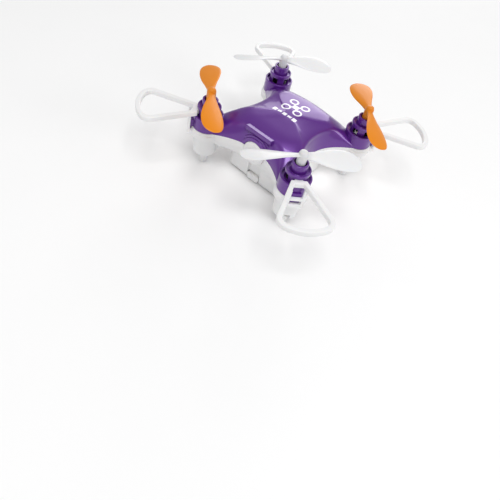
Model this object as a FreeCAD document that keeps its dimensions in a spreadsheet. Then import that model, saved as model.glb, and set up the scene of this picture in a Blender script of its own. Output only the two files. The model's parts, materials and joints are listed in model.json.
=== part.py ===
"""Palm-size quadcopter: two-part shell, four motor pods, four pull-off guards.

Frame: +Z up, origin on the ground under the middle of the four pods, nose towards -Y.
Left and right are the aircraft's own, so its right-hand side is -X.
"""
import FreeCAD, Part
import math
import os
import re

import Sketcher

# Driving dimensions in millimetres. Heights are above the ground unless they say otherwise.
SIZES = {
    # layout
    "motor_pitch": 31.0, "seam_height": 12.8, "fit_gap": 0.01, "running_gap": 0.05,
    # dome of the top shell: half widths at its waists, reach of its corners along the arms
    "waist_x": 10.8, "waist_y": 12.5, "arm_reach": 21.9, "arm_half_width": 3.9,
    "dome_height": 19.5,
    # motor pod, top shell side
    "sleeve_radius": 4.2, "sleeve_top": 16.8, "sleeve_lip": 0.5, "sleeve_groove": 16.1,
    "sleeve_bore": 3.3, "sleeve_roof": 15.75, "stop_bore": 1.2, "stop_top": 16.15,
    "turret_radius": 3.0, "turret_bore": 2.4, "flange_radius": 3.25, "flange_bottom": 18.4,
    "flange_top": 19.4, "flange_floor": 18.9, "flange_lip": 0.4, "turret_roof": 18.3,
    "collar_radius": 2.15, "collar_bore": 1.65, "collar_top": 21.4,
    "window_half_width": 0.85, "window_bottom": 16.4, "window_top": 18.15,
    "slot_half_width": 1.1, "slot_bottom": 16.8, "slot_top": 18.4,
    "tongue_half_width": 1.3, "tongue_inner": 4.42, "tongue_outer": 4.7, "tongue_bottom": 12.1,
    "tongue_top": 15.0,
    # motor pod, bottom shell side
    "ring_radius": 4.35, "ring_bottom": 10.6, "cup_top_radius": 3.55, "cup_foot_radius": 3.35,
    "cup_ring_bottom": 10.2, "cup_ring_slope": 0.3, "cup_bottom": 4.2, "cup_bore": 3.02,
    "wire_slot_half_width": 0.75, "wire_slot_bottom": 4.6,
    "notch_half_width": 0.6, "notch_top": 5.5,
    "bracket_inner": 4.78, "bracket_outer": 5.45, "bracket_half_width": 2.2, "bracket_top": 16.7,
    "bracket_rail": 0.7, "lower_window_bottom": 12.0, "lower_window_top": 13.3,
    "upper_window_bottom": 14.1,
    # foot cap
    "foot_plug_radius": 2.98, "foot_plug_bottom": 3.8, "foot_plug_top": 4.8,
    "foot_tip_radius": 1.27, "foot_round": 0.4,
    # battery box of the bottom shell
    "box_half_x": 9.5, "box_half_y": 10.3, "box_flare_y": 10.8, "box_bottom": 0.4,
    "box_shoulder": 5.7, "shoulder_top": 8.2, "box_corner": 0.8,
    "bay_half_x": 8.2, "bay_half_y": 9.6, "bay_roof": 8.0, "deck_top": 8.9,
    "latch_half_width": 2.3, "latch_recess_top": 7.0, "latch_recess_deep": 0.7,
    "latch_notch_top": 2.7, "deck_slot_right": 6.6, "deck_slot_left": 1.2, "deck_slot_deep": 1.4,
    # battery cover
    "cover_half_x": 7.9, "cover_top": 1.4, "cover_front": 9.5, "cover_rear": 10.2,
    "rail_top": 1.5, "rail_bottom": 0.85, "rail_half_x": 8.7, "lip_half_x": 8.0,
    "tab_half_width": 2.1, "tab_top": 2.5, "tab_front": 10.7, "tab_corner": 0.8,
    "grip_rib": 0.25, "grip_half_x": 3.0, "grip_front": 3.0, "grip_wide": 0.4, "grip_step": 0.9,
    # guard loop, measured outward from its motor's axis
    "guard_bottom": 16.85, "guard_thick": 1.5, "guard_root": 3.2, "guard_root_half": 2.0,
    "guard_corner_reach": 15.7, "guard_corner_offset": 3.85, "guard_corner_radius": 3.0,
    "guard_tip_reach": 19.66, "guard_bar": 1.35, "guard_web_reach": 4.5, "guard_web_half": 1.25,
    "plug_reach": 2.5, "plug_half_width": 1.0, "plug_gap": 0.1,
    # coreless motor
    "can_radius": 3.0, "can_wall": 0.25, "can_bottom": 5.4, "can_length": 10.0, "can_roof": 0.4,
    "bush_radius": 0.95, "bush_length": 1.8, "shaft_radius": 0.4, "shaft_bottom": 5.8,
    "magnet_radius": 1.8, "magnet_bottom": 7.4, "coil_radius": 2.5, "coil_wall": 0.3,
    "coil_bottom": 6.8, "coil_top": 14.4, "coil_disc": 0.4, "end_cap_thick": 1.0,
    # propeller
    "hub_radius": 1.25, "hub_bottom": 21.0, "hub_top": 24.9, "hub_bore_depth": 3.1,
    "blade_height": 23.4, "blade_length": 15.2, "blade_droop": 1.1, "hub_round": 0.7,
    "hub_crown": 0.15, "hub_crown_inset": 0.45,
    # nose
    "nose_centre": 11.9, "nose_radius": 3.5, "nose_seat": 3.6, "nose_face": 13.65, "nose_back": 11.9,
    "nose_crown": 0.3, "nose_crown_inset": 0.5, "arch_radius": 5.9, "arch_step": 0.65,
    "arch_back": 10.6, "arch_face": 13.2, "arch_drop": 0.4,
    "visor_half_x": 4.5, "visor_face": 13.0, "visor_top": 18.95, "visor_edge": 17.9,
    "visor_keel_face": 12.5, "visor_keel": 16.9, "visor_back": 10.8, "visor_back_top": 18.4,
    "visor_root": 16.0,
    # rear bumper and power switch
    "bumper_half_x": 4.8, "bumper_face": 13.1, "bumper_back": 11.0, "bumper_top": 15.2,
    "switch_slot_right": 3.0, "switch_slot_left": 2.1, "switch_slot_bottom": 10.75, "switch_slot_top": 11.95,
    "knob_half_x": 0.9, "knob_bottom": 10.85, "knob_top": 11.85, "knob_inner": 10.35,
    "knob_face": 13.3, "switch_travel": 2.0,
    # circuit board and battery
    "board_half_x": 7.6, "board_half_y": 8.2, "board_bottom": 9.6, "board_thick": 0.8,
    "board_corner": 1.6, "post_radius": 0.9, "post_x": 6.0, "post_y": 6.6,
    "cell_half_x": 6.2, "cell_front": 9.2, "cell_rear": 8.0, "cell_bottom": 2.8, "cell_top": 7.55,
    "cell_round": 0.8, "foam_half_x": 4.5, "foam_half_y": 6.0,
    # wiring
    "battery_wire_radius": 0.3, "motor_wire_radius": 0.2, "motor_wire_offset": 0.35,
    "wire_pad_reach": 9.3, "antenna_radius": 0.25, "antenna_bend": 0.8, "antenna_root_x": 7.0,
    "antenna_root_y": 4.6, "antenna_rise": 2.8, "antenna_height": 3.1, "antenna_bend_x": 3.8,
    "antenna_run_y": 7.6, "antenna_end_x": -2.0,
    # shell screws
    "screw_x": 9.3, "screw_y": 12.3, "screw_radius": 0.6, "screw_head_radius": 1.1,
    "screw_head_bottom": 9.4, "screw_head_tall": 0.7, "screw_tip": 14.2,
    "boss_radius": 1.45, "boss_split": 11.4, "head_recess_radius": 1.2, "screw_clearance": 0.68,
}

# Board parts: length along X, width along Y, height, centre x, centre y.
BOARD_PARTS = {
    "controller_chip": (5.0, 5.0, 0.9, 0.0, -1.8),
    "radio_chip": (4.0, 4.0, 0.85, 5.2, 1.6),
    "motion_sensor": (3.0, 3.0, 0.9, -5.0, -3.6),
    "crystal": (3.2, 2.5, 0.7, 5.2, -2.6),
    "battery_socket": (5.0, 3.0, 2.6, -3.9, 2.4),
}
SWITCH_BODY = (5.0, 3.0, 2.0, 0.0, 8.8)
TRANSISTOR = (2.9, 1.6, 1.1)
TRANSISTOR_PLACES = [(-3.4, -6.9), (3.4, -6.9), (0.4, 5.2), (4.2, 5.2)]
CAPACITOR = (1.6, 0.8, 0.8)
CAPACITOR_PLACES = [(-1.6, -4.9), (1.6, -4.9), (-0.4, 2.2), (1.6, 2.2), (5.2, -4.8), (-5.6, -0.8)]
LAMP = (1.6, 1.2, 0.9)
LAMP_PLACES = [(-0.9, -7.3), (0.9, -7.3), (-5.2, 7.4), (5.2, 7.4)]

# The four pods: sign of x and of y.
PODS = {"front_right": (-1, -1), "front_left": (1, -1), "rear_left": (1, 1), "rear_right": (-1, 1)}

# Dome sections from the seam up: height, x waist, y waist, corner reach, corner half width,
# each as a share of the seam section except the height, which is a share of the dome.
DOME_SECTIONS = [
    (0.00, 1.00, 1.00, 1.00, 1.00),
    (0.33, 0.94, 0.985, 0.865, 0.84),
    (0.60, 0.88, 0.965, 0.755, 0.66),
    (0.84, 0.80, 0.93, 0.635, 0.56),
    (0.955, 0.56, 0.72, 0.50, 0.52),
    (1.00, 0.30, 0.40, 0.32, 0.50),
]
CAVITY_SECTIONS = [
    (0.00, 0.91, 0.92, 0.875, 0.66),
    (0.32, 0.83, 0.90, 0.75, 0.60),
    (0.72, 0.70, 0.84, 0.55, 0.40),
    (0.84, 0.52, 0.70, 0.44, 0.34),
]
# Blade stations: share of its length, chord, thickness, pitch in degrees, backward sweep.
BLADE_STATIONS = [
    (0.04, 2.0, 1.10, 26.0, 0.0),
    (0.20, 3.0, 0.80, 24.0, 0.0),
    (0.42, 4.9, 0.62, 20.0, 0.15),
    (0.66, 6.1, 0.50, 16.0, 0.30),
    (0.84, 5.6, 0.42, 13.0, 0.30),
    (0.95, 3.7, 0.36, 11.0, 0.20),
    (1.00, 1.3, 0.30, 10.0, 0.10),
]
WINDOW_ANGLES = (72, 144, 216, 288)
# Share of a corner's rounding by which the middle of its arc stands in from each side.
ARC_INSET = 1 - math.sqrt(0.5)
# How far a propeller is turned from square to its arm at rest, in degrees.
REST_TURNS = {"front_right": 3.0}

doc = FreeCAD.newDocument("palm_quadcopter")
sheet = doc.addObject("Spreadsheet::Sheet", "dims")
nodes = {}


def fill_sheet():
    """Write every driving dimension into the sheet with its alias."""
    for name, figures in BOARD_PARTS.items():
        for suffix, value in zip(("long", "wide", "tall", "place_x", "place_y"), figures):
            SIZES[name + "_" + suffix] = value
    for name, figures in (("switch_body", SWITCH_BODY), ("transistor", TRANSISTOR),
                          ("capacitor", CAPACITOR), ("lamp", LAMP)):
        for suffix, value in zip(("long", "wide", "tall", "place_x", "place_y"), figures):
            SIZES[name + "_" + suffix] = value
    for row, (name, value) in enumerate(SIZES.items(), start=1):
        sheet.set("A%d" % row, name)
        sheet.set("B%d" % row, str(value))
        sheet.setAlias("B%d" % row, name)
    doc.recompute()


def bound(formula):
    """Formula with the sheet's name in front of every alias."""
    def prefix(word):
        return "dims." + word.group() if word.group() in SIZES else word.group()
    return re.sub(r"[a-z_][a-z_0-9]*", prefix, str(formula))


def size(formula):
    """Value of a formula of aliases."""
    return float(sheet.evalExpression(bound(formula)))


def bind(thing, name, formula):
    """Bind a property to a formula of aliases."""
    thing.setExpression(name, bound(formula))


# ---------------------------------------------------------------- placing

def at_pod(thing, pod, turn=0.0):
    """Put a piece drawn about its own axis on a pod, its +X pointing outward."""
    x_sign, y_sign = PODS[pod]
    outward = math.degrees(math.atan2(y_sign, x_sign)) + turn
    half = size("motor_pitch / 2")
    spin = FreeCAD.Rotation(FreeCAD.Vector(0, 0, 1), outward)
    thing.Placement = FreeCAD.Placement(FreeCAD.Vector(x_sign * half, y_sign * half, 0), spin)
    bind(thing, "Placement.Base.x", "%d * motor_pitch / 2" % x_sign)
    bind(thing, "Placement.Base.y", "%d * motor_pitch / 2" % y_sign)
    return thing


def label(thing, name):
    """Name a finished piece and list it for export."""
    thing.Label = name
    nodes[name] = thing
    return thing


# ---------------------------------------------------------------- sketches

def plane(body, role):
    """One of a body's own origin planes."""
    return next(item for item in body.Origin.OriginFeatures if item.Role == role)


def pin_point(sketch, shape_index, end, formulas):
    """Fix a sketch point at the place given by two formulas."""
    for kind, formula, axis in zip(("DistanceX", "DistanceY"), formulas, (-2, -1)):
        value = size(formula)
        if abs(value) < 1e-9:
            sketch.addConstraint(Sketcher.Constraint("PointOnObject", shape_index, end, axis))
        else:
            index = sketch.addConstraint(
                Sketcher.Constraint(kind, -1, 1, shape_index, end, value))
            bind(sketch, "Constraints[%d]" % index, formula)


def new_sketch(body, name, role, height="0"):
    """Empty sketch on one of the body's planes, raised by a formula."""
    sketch = body.newObject("Sketcher::SketchObject", name)
    sketch.AttachmentSupport = [(plane(body, role), "")]
    sketch.MapMode = "FlatFace"
    if height != "0":
        sketch.AttachmentOffset = FreeCAD.Placement(
            FreeCAD.Vector(0, 0, size(height)), FreeCAD.Rotation())
        bind(sketch, "AttachmentOffset.Base.z", height)
    return sketch


def add_outline(sketch, corners, bows=None):
    """Closed outline through corner formulas. bows gives the middle point of a curved side."""
    bows = bows or {}
    first = sketch.GeometryCount
    count = len(corners)
    spots = [FreeCAD.Vector(size(x), size(y), 0) for x, y in corners]
    for side in range(count):
        start, end = spots[side], spots[(side + 1) % count]
        if side in bows:
            middle = FreeCAD.Vector(size(bows[side][0]), size(bows[side][1]), 0)
            arc = Part.Arc(start, middle, end)
            sketch.addGeometry(arc, False)
        else:
            sketch.addGeometry(Part.LineSegment(start, end), False)
    start_ends = []
    for side in range(count):
        flipped = False
        if side in bows:
            reached = sketch.getPoint(first + side, 1)
            flipped = reached.distanceToPoint(spots[side]) > 1e-6
        start_ends.append((2, 1) if flipped else (1, 2))
    for side in range(count):
        follower = (side + 1) % count
        sketch.addConstraint(Sketcher.Constraint(
            "Coincident", first + side, start_ends[side][1],
            first + follower, start_ends[follower][0]))
    for side, corner in enumerate(corners):
        pin_point(sketch, first + side, start_ends[side][0], corner)
    for side, middle in bows.items():
        spot = sketch.addGeometry(Part.Point(FreeCAD.Vector(size(middle[0]), size(middle[1]), 0)),
                                  True)
        pin_point(sketch, spot, 1, middle)
        sketch.addConstraint(Sketcher.Constraint("PointOnObject", spot, 1, first + side))


# ---------------------------------------------------------------- solids

def turned(name, profiles):
    """Body of revolution about its Z axis from (radius, height) outlines."""
    body = doc.addObject("PartDesign::Body", name)
    for number, profile in enumerate(profiles):
        sketch = new_sketch(body, "%s_profile_%d" % (name, number), "XZ_Plane")
        add_outline(sketch, profile)
        spin = body.newObject("PartDesign::Revolution", "%s_turn_%d" % (name, number))
        spin.Profile = sketch
        spin.ReferenceAxis = (sketch, ["V_Axis"])
        spin.Angle = 360
        doc.recompute()
    return body


def padded(name, corners, bottom, height, bows=None, holes=()):
    """Body padded up from a flat outline, with inner outlines left open."""
    body = doc.addObject("PartDesign::Body", name)
    sketch = new_sketch(body, name + "_outline", "XY_Plane", bottom)
    add_outline(sketch, corners, bows)
    for hole, hole_bows in holes:
        add_outline(sketch, hole, hole_bows)
    pad = body.newObject("PartDesign::Pad", name + "_pad")
    pad.Profile = sketch
    pad.Length = size(height)
    bind(pad, "Length", height)
    doc.recompute()
    return body


def box(name, low, high):
    """Box between two corners given as formulas."""
    solid = doc.addObject("Part::Box", name)
    for side, start, end in zip(("Length", "Width", "Height"), low, high):
        bind(solid, side, "(%s) - (%s)" % (end, start))
    for axis, start in zip("xyz", low):
        bind(solid, "Placement.Base." + axis, start)
    return solid


def cylinder(name, radius, bottom, top, x="0", y="0"):
    """Upright cylinder from formulas."""
    solid = doc.addObject("Part::Cylinder", name)
    bind(solid, "Radius", radius)
    bind(solid, "Height", "(%s) - (%s)" % (top, bottom))
    for axis, formula in zip("xyz", (x, y, bottom)):
        bind(solid, "Placement.Base." + axis, formula)
    return solid


def nose_cylinder(name, radius, back, face):
    """Cylinder lying along the nose's axis, from one distance ahead of the middle to another."""
    solid = doc.addObject("Part::Cylinder", name)
    bind(solid, "Radius", radius)
    bind(solid, "Height", "(%s) - (%s)" % (face, back))
    solid.Placement = FreeCAD.Placement(
        FreeCAD.Vector(0, 0, 0), FreeCAD.Rotation(FreeCAD.Vector(1, 0, 0), 90))
    bind(solid, "Placement.Base.y", "-(%s)" % back)
    bind(solid, "Placement.Base.z", "nose_centre")
    return solid


def group_of(kind, name, members):
    """Part::MultiFuse or Part::MultiCommon of several solids."""
    joined = doc.addObject(kind, name)
    joined.Shapes = members
    doc.recompute()
    return joined


def fused(name, members):
    """One solid from several touching ones."""
    return group_of("Part::MultiFuse", name, members)


def cut(name, base, tools):
    """Base with every tool taken out of it."""
    removed = tools[0] if len(tools) == 1 else fused(name + "_tools", tools)
    result = doc.addObject("Part::Cut", name)
    result.Base = base
    result.Tool = removed
    doc.recompute()
    if result.Shape.Volume > base.Shape.Volume - 1e-4:
        raise RuntimeError(name + ": the cut removed nothing")
    return result


def assembled(name, members):
    """Compound that keeps identical pieces as separate solids of one node."""
    joined = doc.addObject("Part::Compound", name)
    joined.Links = members
    doc.recompute()
    return joined


def bent_wire(name, points, radius, bend):
    """Round wire along straight runs joined by tangent arcs."""
    spots = [FreeCAD.Vector(*point) for point in points]
    edges = []
    last = spots[0]
    for before, corner, after in zip(spots, spots[1:], spots[2:]):
        back = (before - corner).normalize()
        onward = (after - corner).normalize()
        half_turn = (math.pi - back.getAngle(onward)) / 2
        run = bend * math.tan(half_turn)
        start, end = corner + back * run, corner + onward * run
        centre_side = (back + onward).normalize()
        middle = corner + centre_side * (bend / math.cos(half_turn) - bend)
        edges.append(Part.LineSegment(last, start).toShape())
        edges.append(Part.Arc(start, middle, end).toShape())
        last = end
    edges.append(Part.LineSegment(last, spots[-1]).toShape())
    path = Part.Wire(edges)
    section = Part.Wire([Part.makeCircle(radius, spots[0], spots[1] - spots[0])])
    tube = path.makePipeShell([section], True, False)
    expected = math.pi * radius ** 2 * path.Length
    if abs(tube.Volume - expected) > 0.02 * expected:
        raise RuntimeError(name + ": the wire's volume is wrong")
    wire = doc.addObject("Part::Feature", name)
    wire.Shape = tube
    return wire


# ---------------------------------------------------------------- shell outlines

def x_outline(waist_x, waist_y, reach, half_width):
    """Corners and bows of an outline with four arms and hollow sides."""
    diagonal = "0.70710678"
    inner = "((%s) - (%s)) * %s" % (reach, half_width, diagonal)
    outer = "((%s) + (%s)) * %s" % (reach, half_width, diagonal)
    corners = []
    for x_sign, y_sign in ((1, -1), (1, 1), (-1, 1), (-1, -1)):
        near_y = ("%d * (%s)" % (x_sign, outer), "%d * (%s)" % (y_sign, inner))
        near_x = ("%d * (%s)" % (x_sign, inner), "%d * (%s)" % (y_sign, outer))
        corners += [near_x, near_y] if x_sign * y_sign < 0 else [near_y, near_x]
    bows = {1: (waist_x, "0"), 3: ("0", waist_y), 5: ("-(%s)" % waist_x, "0"),
            7: ("0", "-(%s)" % waist_y)}
    return corners, bows


def lofted(name, kind, body, sections, ruled=False):
    """Add a loft through X outlines: each section is a height and four outline formulas."""
    sketches = []
    for number, (height, outline) in enumerate(sections):
        sketch = new_sketch(body, "%s_section_%d" % (name, number), "XY_Plane", height)
        add_outline(sketch, *outline)
        sketches.append(sketch)
    doc.recompute()
    loft = body.newObject(kind, name)
    loft.Profile = sketches[0]
    loft.Sections = sketches[1:]
    loft.Ruled = ruled
    doc.recompute()
    return loft


def dome_section(shares, roof):
    """Height and outline of one dome section, its height a share of the way to the roof."""
    rise, x_share, y_share, reach_share, width_share = shares
    height = "seam_height + (%s - seam_height) * %s" % (roof, rise)
    outline = x_outline("waist_x * %s" % x_share, "waist_y * %s" % y_share,
                        "arm_reach * %s" % reach_share, "arm_half_width * %s" % width_share)
    return height, outline


# ---------------------------------------------------------------- top shell

def sleeve_profile():
    """Outside and top of a pod: motor sleeve, windowed turret, flange and collar, unbored."""
    return [
        ("0", "seam_height"), ("sleeve_radius", "seam_height"), ("sleeve_radius", "sleeve_top"),
        ("sleeve_radius - sleeve_lip", "sleeve_top"),
        ("sleeve_radius - sleeve_lip", "sleeve_groove"), ("turret_radius", "sleeve_groove"),
        ("turret_radius", "flange_bottom"), ("flange_radius", "flange_bottom"),
        ("flange_radius", "flange_top"), ("flange_radius - flange_lip", "flange_top"),
        ("flange_radius - flange_lip", "flange_floor"), ("collar_radius", "flange_floor"),
        ("collar_radius", "collar_top"), ("0", "collar_top"),
    ]


def pod_bore_profile():
    """Hollow inside a pod: motor space, turret space and the collar's bore."""
    return [
        ("0", "seam_height - 1"), ("sleeve_bore", "seam_height - 1"),
        ("sleeve_bore", "sleeve_roof"), ("stop_bore", "sleeve_roof"), ("stop_bore", "stop_top"),
        ("turret_bore", "stop_top"), ("turret_bore", "turret_roof"), ("collar_bore", "turret_roof"),
        ("collar_bore", "collar_top + 1"), ("0", "collar_top + 1"),
    ]


def pod_box(name, pod, low, high, turn=0.0):
    """Box in a pod's own axes, turned about the pod's axis."""
    body = padded(name, [(low[0], low[1]), (high[0], low[1]), (high[0], high[1]),
                         (low[0], high[1])], low[2], "(%s) - (%s)" % (high[2], low[2]))
    return at_pod(body, pod, turn)


def make_visor():
    """Brow bar over the nose, its underside sloping back into the dome."""
    body = doc.addObject("PartDesign::Body", "visor")
    sketch = new_sketch(body, "visor_profile", "YZ_Plane", "-visor_half_x")
    add_outline(sketch, [("-visor_face", "visor_edge"), ("-visor_face", "visor_top"),
                         ("-visor_back", "visor_back_top"), ("-visor_back", "visor_root"),
                         ("-visor_keel_face", "visor_keel")])
    pad = body.newObject("PartDesign::Pad", "visor_pad")
    pad.Profile = sketch
    bind(pad, "Length", "2 * visor_half_x")
    doc.recompute()
    return body


def make_arch():
    """Stepped half rings of the nose above the seam."""
    steps = [nose_cylinder("arch_ring_%d" % step, "arch_radius - %d * arch_step" % step,
                           "arch_back", "arch_face - arch_drop * (2 - %d)" % step)
             for step in range(3)]
    below = box("arch_below", ("-arch_radius - 1", "-arch_face - 1", "nose_centre - 8"),
                ("arch_radius + 1", "-arch_back + 1", "seam_height"))
    return cut("arch", fused("arch_rings", steps), [below])


def make_bumper():
    """Rounded swelling in the middle of the rear wall."""
    return padded("rear_bumper",
                  [("bumper_half_x", "bumper_back"), ("-bumper_half_x", "bumper_back")],
                  "seam_height", "bumper_top - seam_height", {1: ("0", "bumper_face")})


def screw_posts(name, radius, bottom, top):
    """Cylinder at each shell screw."""
    return [cylinder("%s_%s" % (name, pod), radius, bottom, top, "%d * screw_x" % x_sign,
                     "%d * screw_y" % y_sign) for pod, (x_sign, y_sign) in PODS.items()]


def make_top_shell():
    """Glossy upper shell with the four motor sleeves."""
    dome = doc.addObject("PartDesign::Body", "dome")
    lofted("dome_outside", "PartDesign::AdditiveLoft", dome,
           [dome_section(shares, "dome_height") for shares in DOME_SECTIONS])
    sleeves = []
    bores = []
    tongues = []
    windows = []
    for pod in PODS:
        sleeves.append(at_pod(turned("sleeve_" + pod, [sleeve_profile()]), pod))
        bores.append(at_pod(turned("pod_bore_" + pod, [pod_bore_profile()]), pod))
        tongues.append(pod_box("tongue_" + pod, pod,
                               ("sleeve_radius - 0.4", "-tongue_half_width", "seam_height"),
                               ("tongue_outer", "tongue_half_width", "tongue_top")))
        tongues.append(pod_box("tongue_tip_" + pod, pod,
                               ("tongue_inner", "-tongue_half_width", "tongue_bottom"),
                               ("tongue_outer", "tongue_half_width", "seam_height + 0.5")))
        windows.append(pod_box("guard_slot_" + pod, pod,
                               ("turret_bore - 0.6", "-slot_half_width", "slot_bottom"),
                               ("turret_radius + 0.6", "slot_half_width", "slot_top")))
        for angle in WINDOW_ANGLES:
            windows.append(pod_box("window_%s_%d" % (pod, angle), pod,
                                   ("turret_bore - 0.6", "-window_half_width", "window_bottom"),
                                   ("turret_radius + 0.3", "window_half_width", "window_top"),
                                   angle))
    outside = fused("top_outside", [dome, make_visor(), make_arch(), make_bumper()] + sleeves
                    + tongues)
    cavity = doc.addObject("PartDesign::Body", "dome_cavity")
    lofted("cavity", "PartDesign::AdditiveLoft", cavity,
           [dome_section(shares, "dome_height") for shares in CAVITY_SECTIONS])
    hollow = cut("top_hollow", outside, [cavity] + bores)
    bosses = group_of("Part::MultiCommon", "top_bosses_inside", [
        dome, fused("top_bosses", screw_posts("top_boss", "boss_radius", "seam_height", "16"))])
    stems = screw_posts("top_stem", "boss_radius", "boss_split + running_gap", "seam_height + 0.2")
    solid = fused("top_with_bosses", [hollow, bosses] + stems)
    pilots = screw_posts("pilot", "screw_radius + fit_gap", "boss_split - 1", "screw_tip + 0.3")
    seat = nose_cylinder("top_nose_seat", "nose_seat", "arch_back - 2", "arch_face + 2")
    label(cut("top_shell", solid, windows + pilots + [seat]), "top_shell")


# ---------------------------------------------------------------- bottom shell

def rectangle_outline(half_x, half_y, corner):
    """Eight-cornered outline of a box, in the order of x_outline."""
    corners = []
    for x_sign, y_sign in ((1, -1), (1, 1), (-1, 1), (-1, -1)):
        near_y = ("%d * (%s)" % (x_sign, half_x), "%d * ((%s) - (%s))" % (y_sign, half_y, corner))
        near_x = ("%d * ((%s) - (%s))" % (x_sign, half_x, corner), "%d * (%s)" % (y_sign, half_y))
        corners += [near_x, near_y] if x_sign * y_sign < 0 else [near_y, near_x]
    return corners, {}


def make_lower_hull():
    """Outside of the lower shell without its pods: battery box, shoulders and arm roots."""
    tub = doc.addObject("PartDesign::Body", "battery_box")
    lofted("box_walls", "PartDesign::AdditiveLoft", tub, [
        ("box_bottom", rectangle_outline("box_half_x - 0.1", "box_half_y", "box_corner")),
        ("box_shoulder", rectangle_outline("box_half_x", "box_flare_y", "box_corner"))], True)
    lofted("shoulders", "PartDesign::AdditiveLoft", tub, [
        ("box_shoulder", rectangle_outline("box_half_x", "box_flare_y", "box_corner")),
        ("shoulder_top", x_outline("box_half_x + 0.4", "box_flare_y + 0.7", "arm_reach - 3.2",
                                   "arm_half_width - 1.0")),
        ("ring_bottom", x_outline("waist_x - 0.2", "waist_y - 0.2", "arm_reach",
                                  "arm_half_width - 0.3")),
        ("seam_height", x_outline("waist_x", "waist_y", "arm_reach", "arm_half_width"))], True)
    return tub


def make_lower_cavity():
    """Space above the deck, with doorways into the four pods."""
    space = doc.addObject("PartDesign::Body", "lower_cavity")
    lofted("lower_space", "PartDesign::AdditiveLoft", space, [
        ("deck_top", x_outline("box_half_x - 0.7", "box_flare_y - 0.3", "arm_reach - 5.2",
                               "arm_half_width - 2.3")),
        ("ring_bottom + 0.2", x_outline("waist_x - 1.1", "waist_y - 1.1", "arm_reach - 2.7",
                                        "arm_half_width - 1.5")),
        ("seam_height + 0.5", x_outline("waist_x - 0.9", "waist_y - 1.0", "arm_reach - 2.7",
                                        "arm_half_width - 1.2"))], True)
    return space


def make_lower_pod(pod):
    """Ring, motor cup and guard bracket of one pod, and what is cut out of them."""
    cup = at_pod(turned("cup_" + pod, [[
        ("0", "cup_bottom"), ("cup_foot_radius", "cup_bottom"),
        ("cup_top_radius", "cup_ring_bottom"), ("ring_radius", "cup_ring_bottom + cup_ring_slope"),
        ("ring_radius", "seam_height"), ("0", "seam_height")]]), pod)
    link = pod_box("bracket_link_" + pod, pod,
                   ("cup_bore + 0.2", "-bracket_half_width", "ring_bottom + 0.4"),
                   ("bracket_outer", "bracket_half_width", "lower_window_bottom - 0.1"))
    ladder = pod_box("bracket_" + pod, pod,
                     ("bracket_inner", "-bracket_half_width", "ring_bottom + 0.4"),
                     ("bracket_outer", "bracket_half_width", "bracket_top"))
    bore = at_pod(turned("cup_bore_" + pod, [[
        ("0", "cup_bottom - 1"), ("cup_bore", "cup_bottom - 1"), ("cup_bore", "seam_height + 1"),
        ("0", "seam_height + 1")]]), pod)
    slot = pod_box("wire_slot_" + pod, pod,
                   ("-cup_top_radius - 0.6", "-wire_slot_half_width", "wire_slot_bottom"),
                   ("-cup_bore + 0.3", "wire_slot_half_width", "seam_height + 1"))
    notch = pod_box("cup_notch_" + pod, pod,
                    ("-cup_top_radius - 1", "-notch_half_width", "cup_bottom - 1"),
                    ("cup_top_radius + 1", "notch_half_width", "notch_top"))
    half_window = "bracket_half_width - bracket_rail"
    low_window = pod_box("bracket_low_window_" + pod, pod,
                         ("bracket_inner - 0.3", "-(%s)" % half_window, "lower_window_bottom"),
                         ("bracket_outer + 1", half_window, "lower_window_top"))
    high_window = pod_box("bracket_high_window_" + pod, pod,
                          ("bracket_inner - 0.3", "-(%s)" % half_window, "upper_window_bottom"),
                          ("bracket_outer + 1", half_window, "bracket_top + 1"))
    return [cup, link, ladder], [bore, slot, notch, low_window, high_window]


def bay_cutters():
    """Battery bay, cover rails, latch notch and the deck's wire slot."""
    return [
        box("bay", ("-bay_half_x", "-bay_half_y", "rail_top - 0.1"),
            ("bay_half_x", "bay_half_y", "bay_roof")),
        box("rail_space", ("-rail_half_x", "-bay_half_y", "rail_bottom"),
            ("rail_half_x", "box_flare_y + 1", "rail_top")),
        box("cover_opening", ("-lip_half_x", "-bay_half_y", "box_bottom - 1"),
            ("lip_half_x", "box_flare_y + 1", "rail_top")),
        box("latch_recess", ("-latch_half_width", "-box_flare_y - 1", "box_bottom - 1"),
            ("latch_half_width", "-box_half_y + latch_recess_deep - 0.3", "latch_recess_top")),
        box("latch_notch", ("-latch_half_width", "-box_flare_y - 1", "box_bottom - 1"),
            ("latch_half_width", "-bay_half_y + 0.5", "latch_notch_top")),
        box("deck_slot", ("-deck_slot_right", "bay_half_y - deck_slot_deep", "bay_roof - 0.5"),
            ("-deck_slot_left", "bay_half_y - 0.1", "deck_top + 0.5")),
        box("switch_slot", ("-switch_slot_right", "knob_inner", "switch_slot_bottom"),
            ("switch_slot_left", "waist_y + 1", "switch_slot_top")),
    ]


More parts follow.
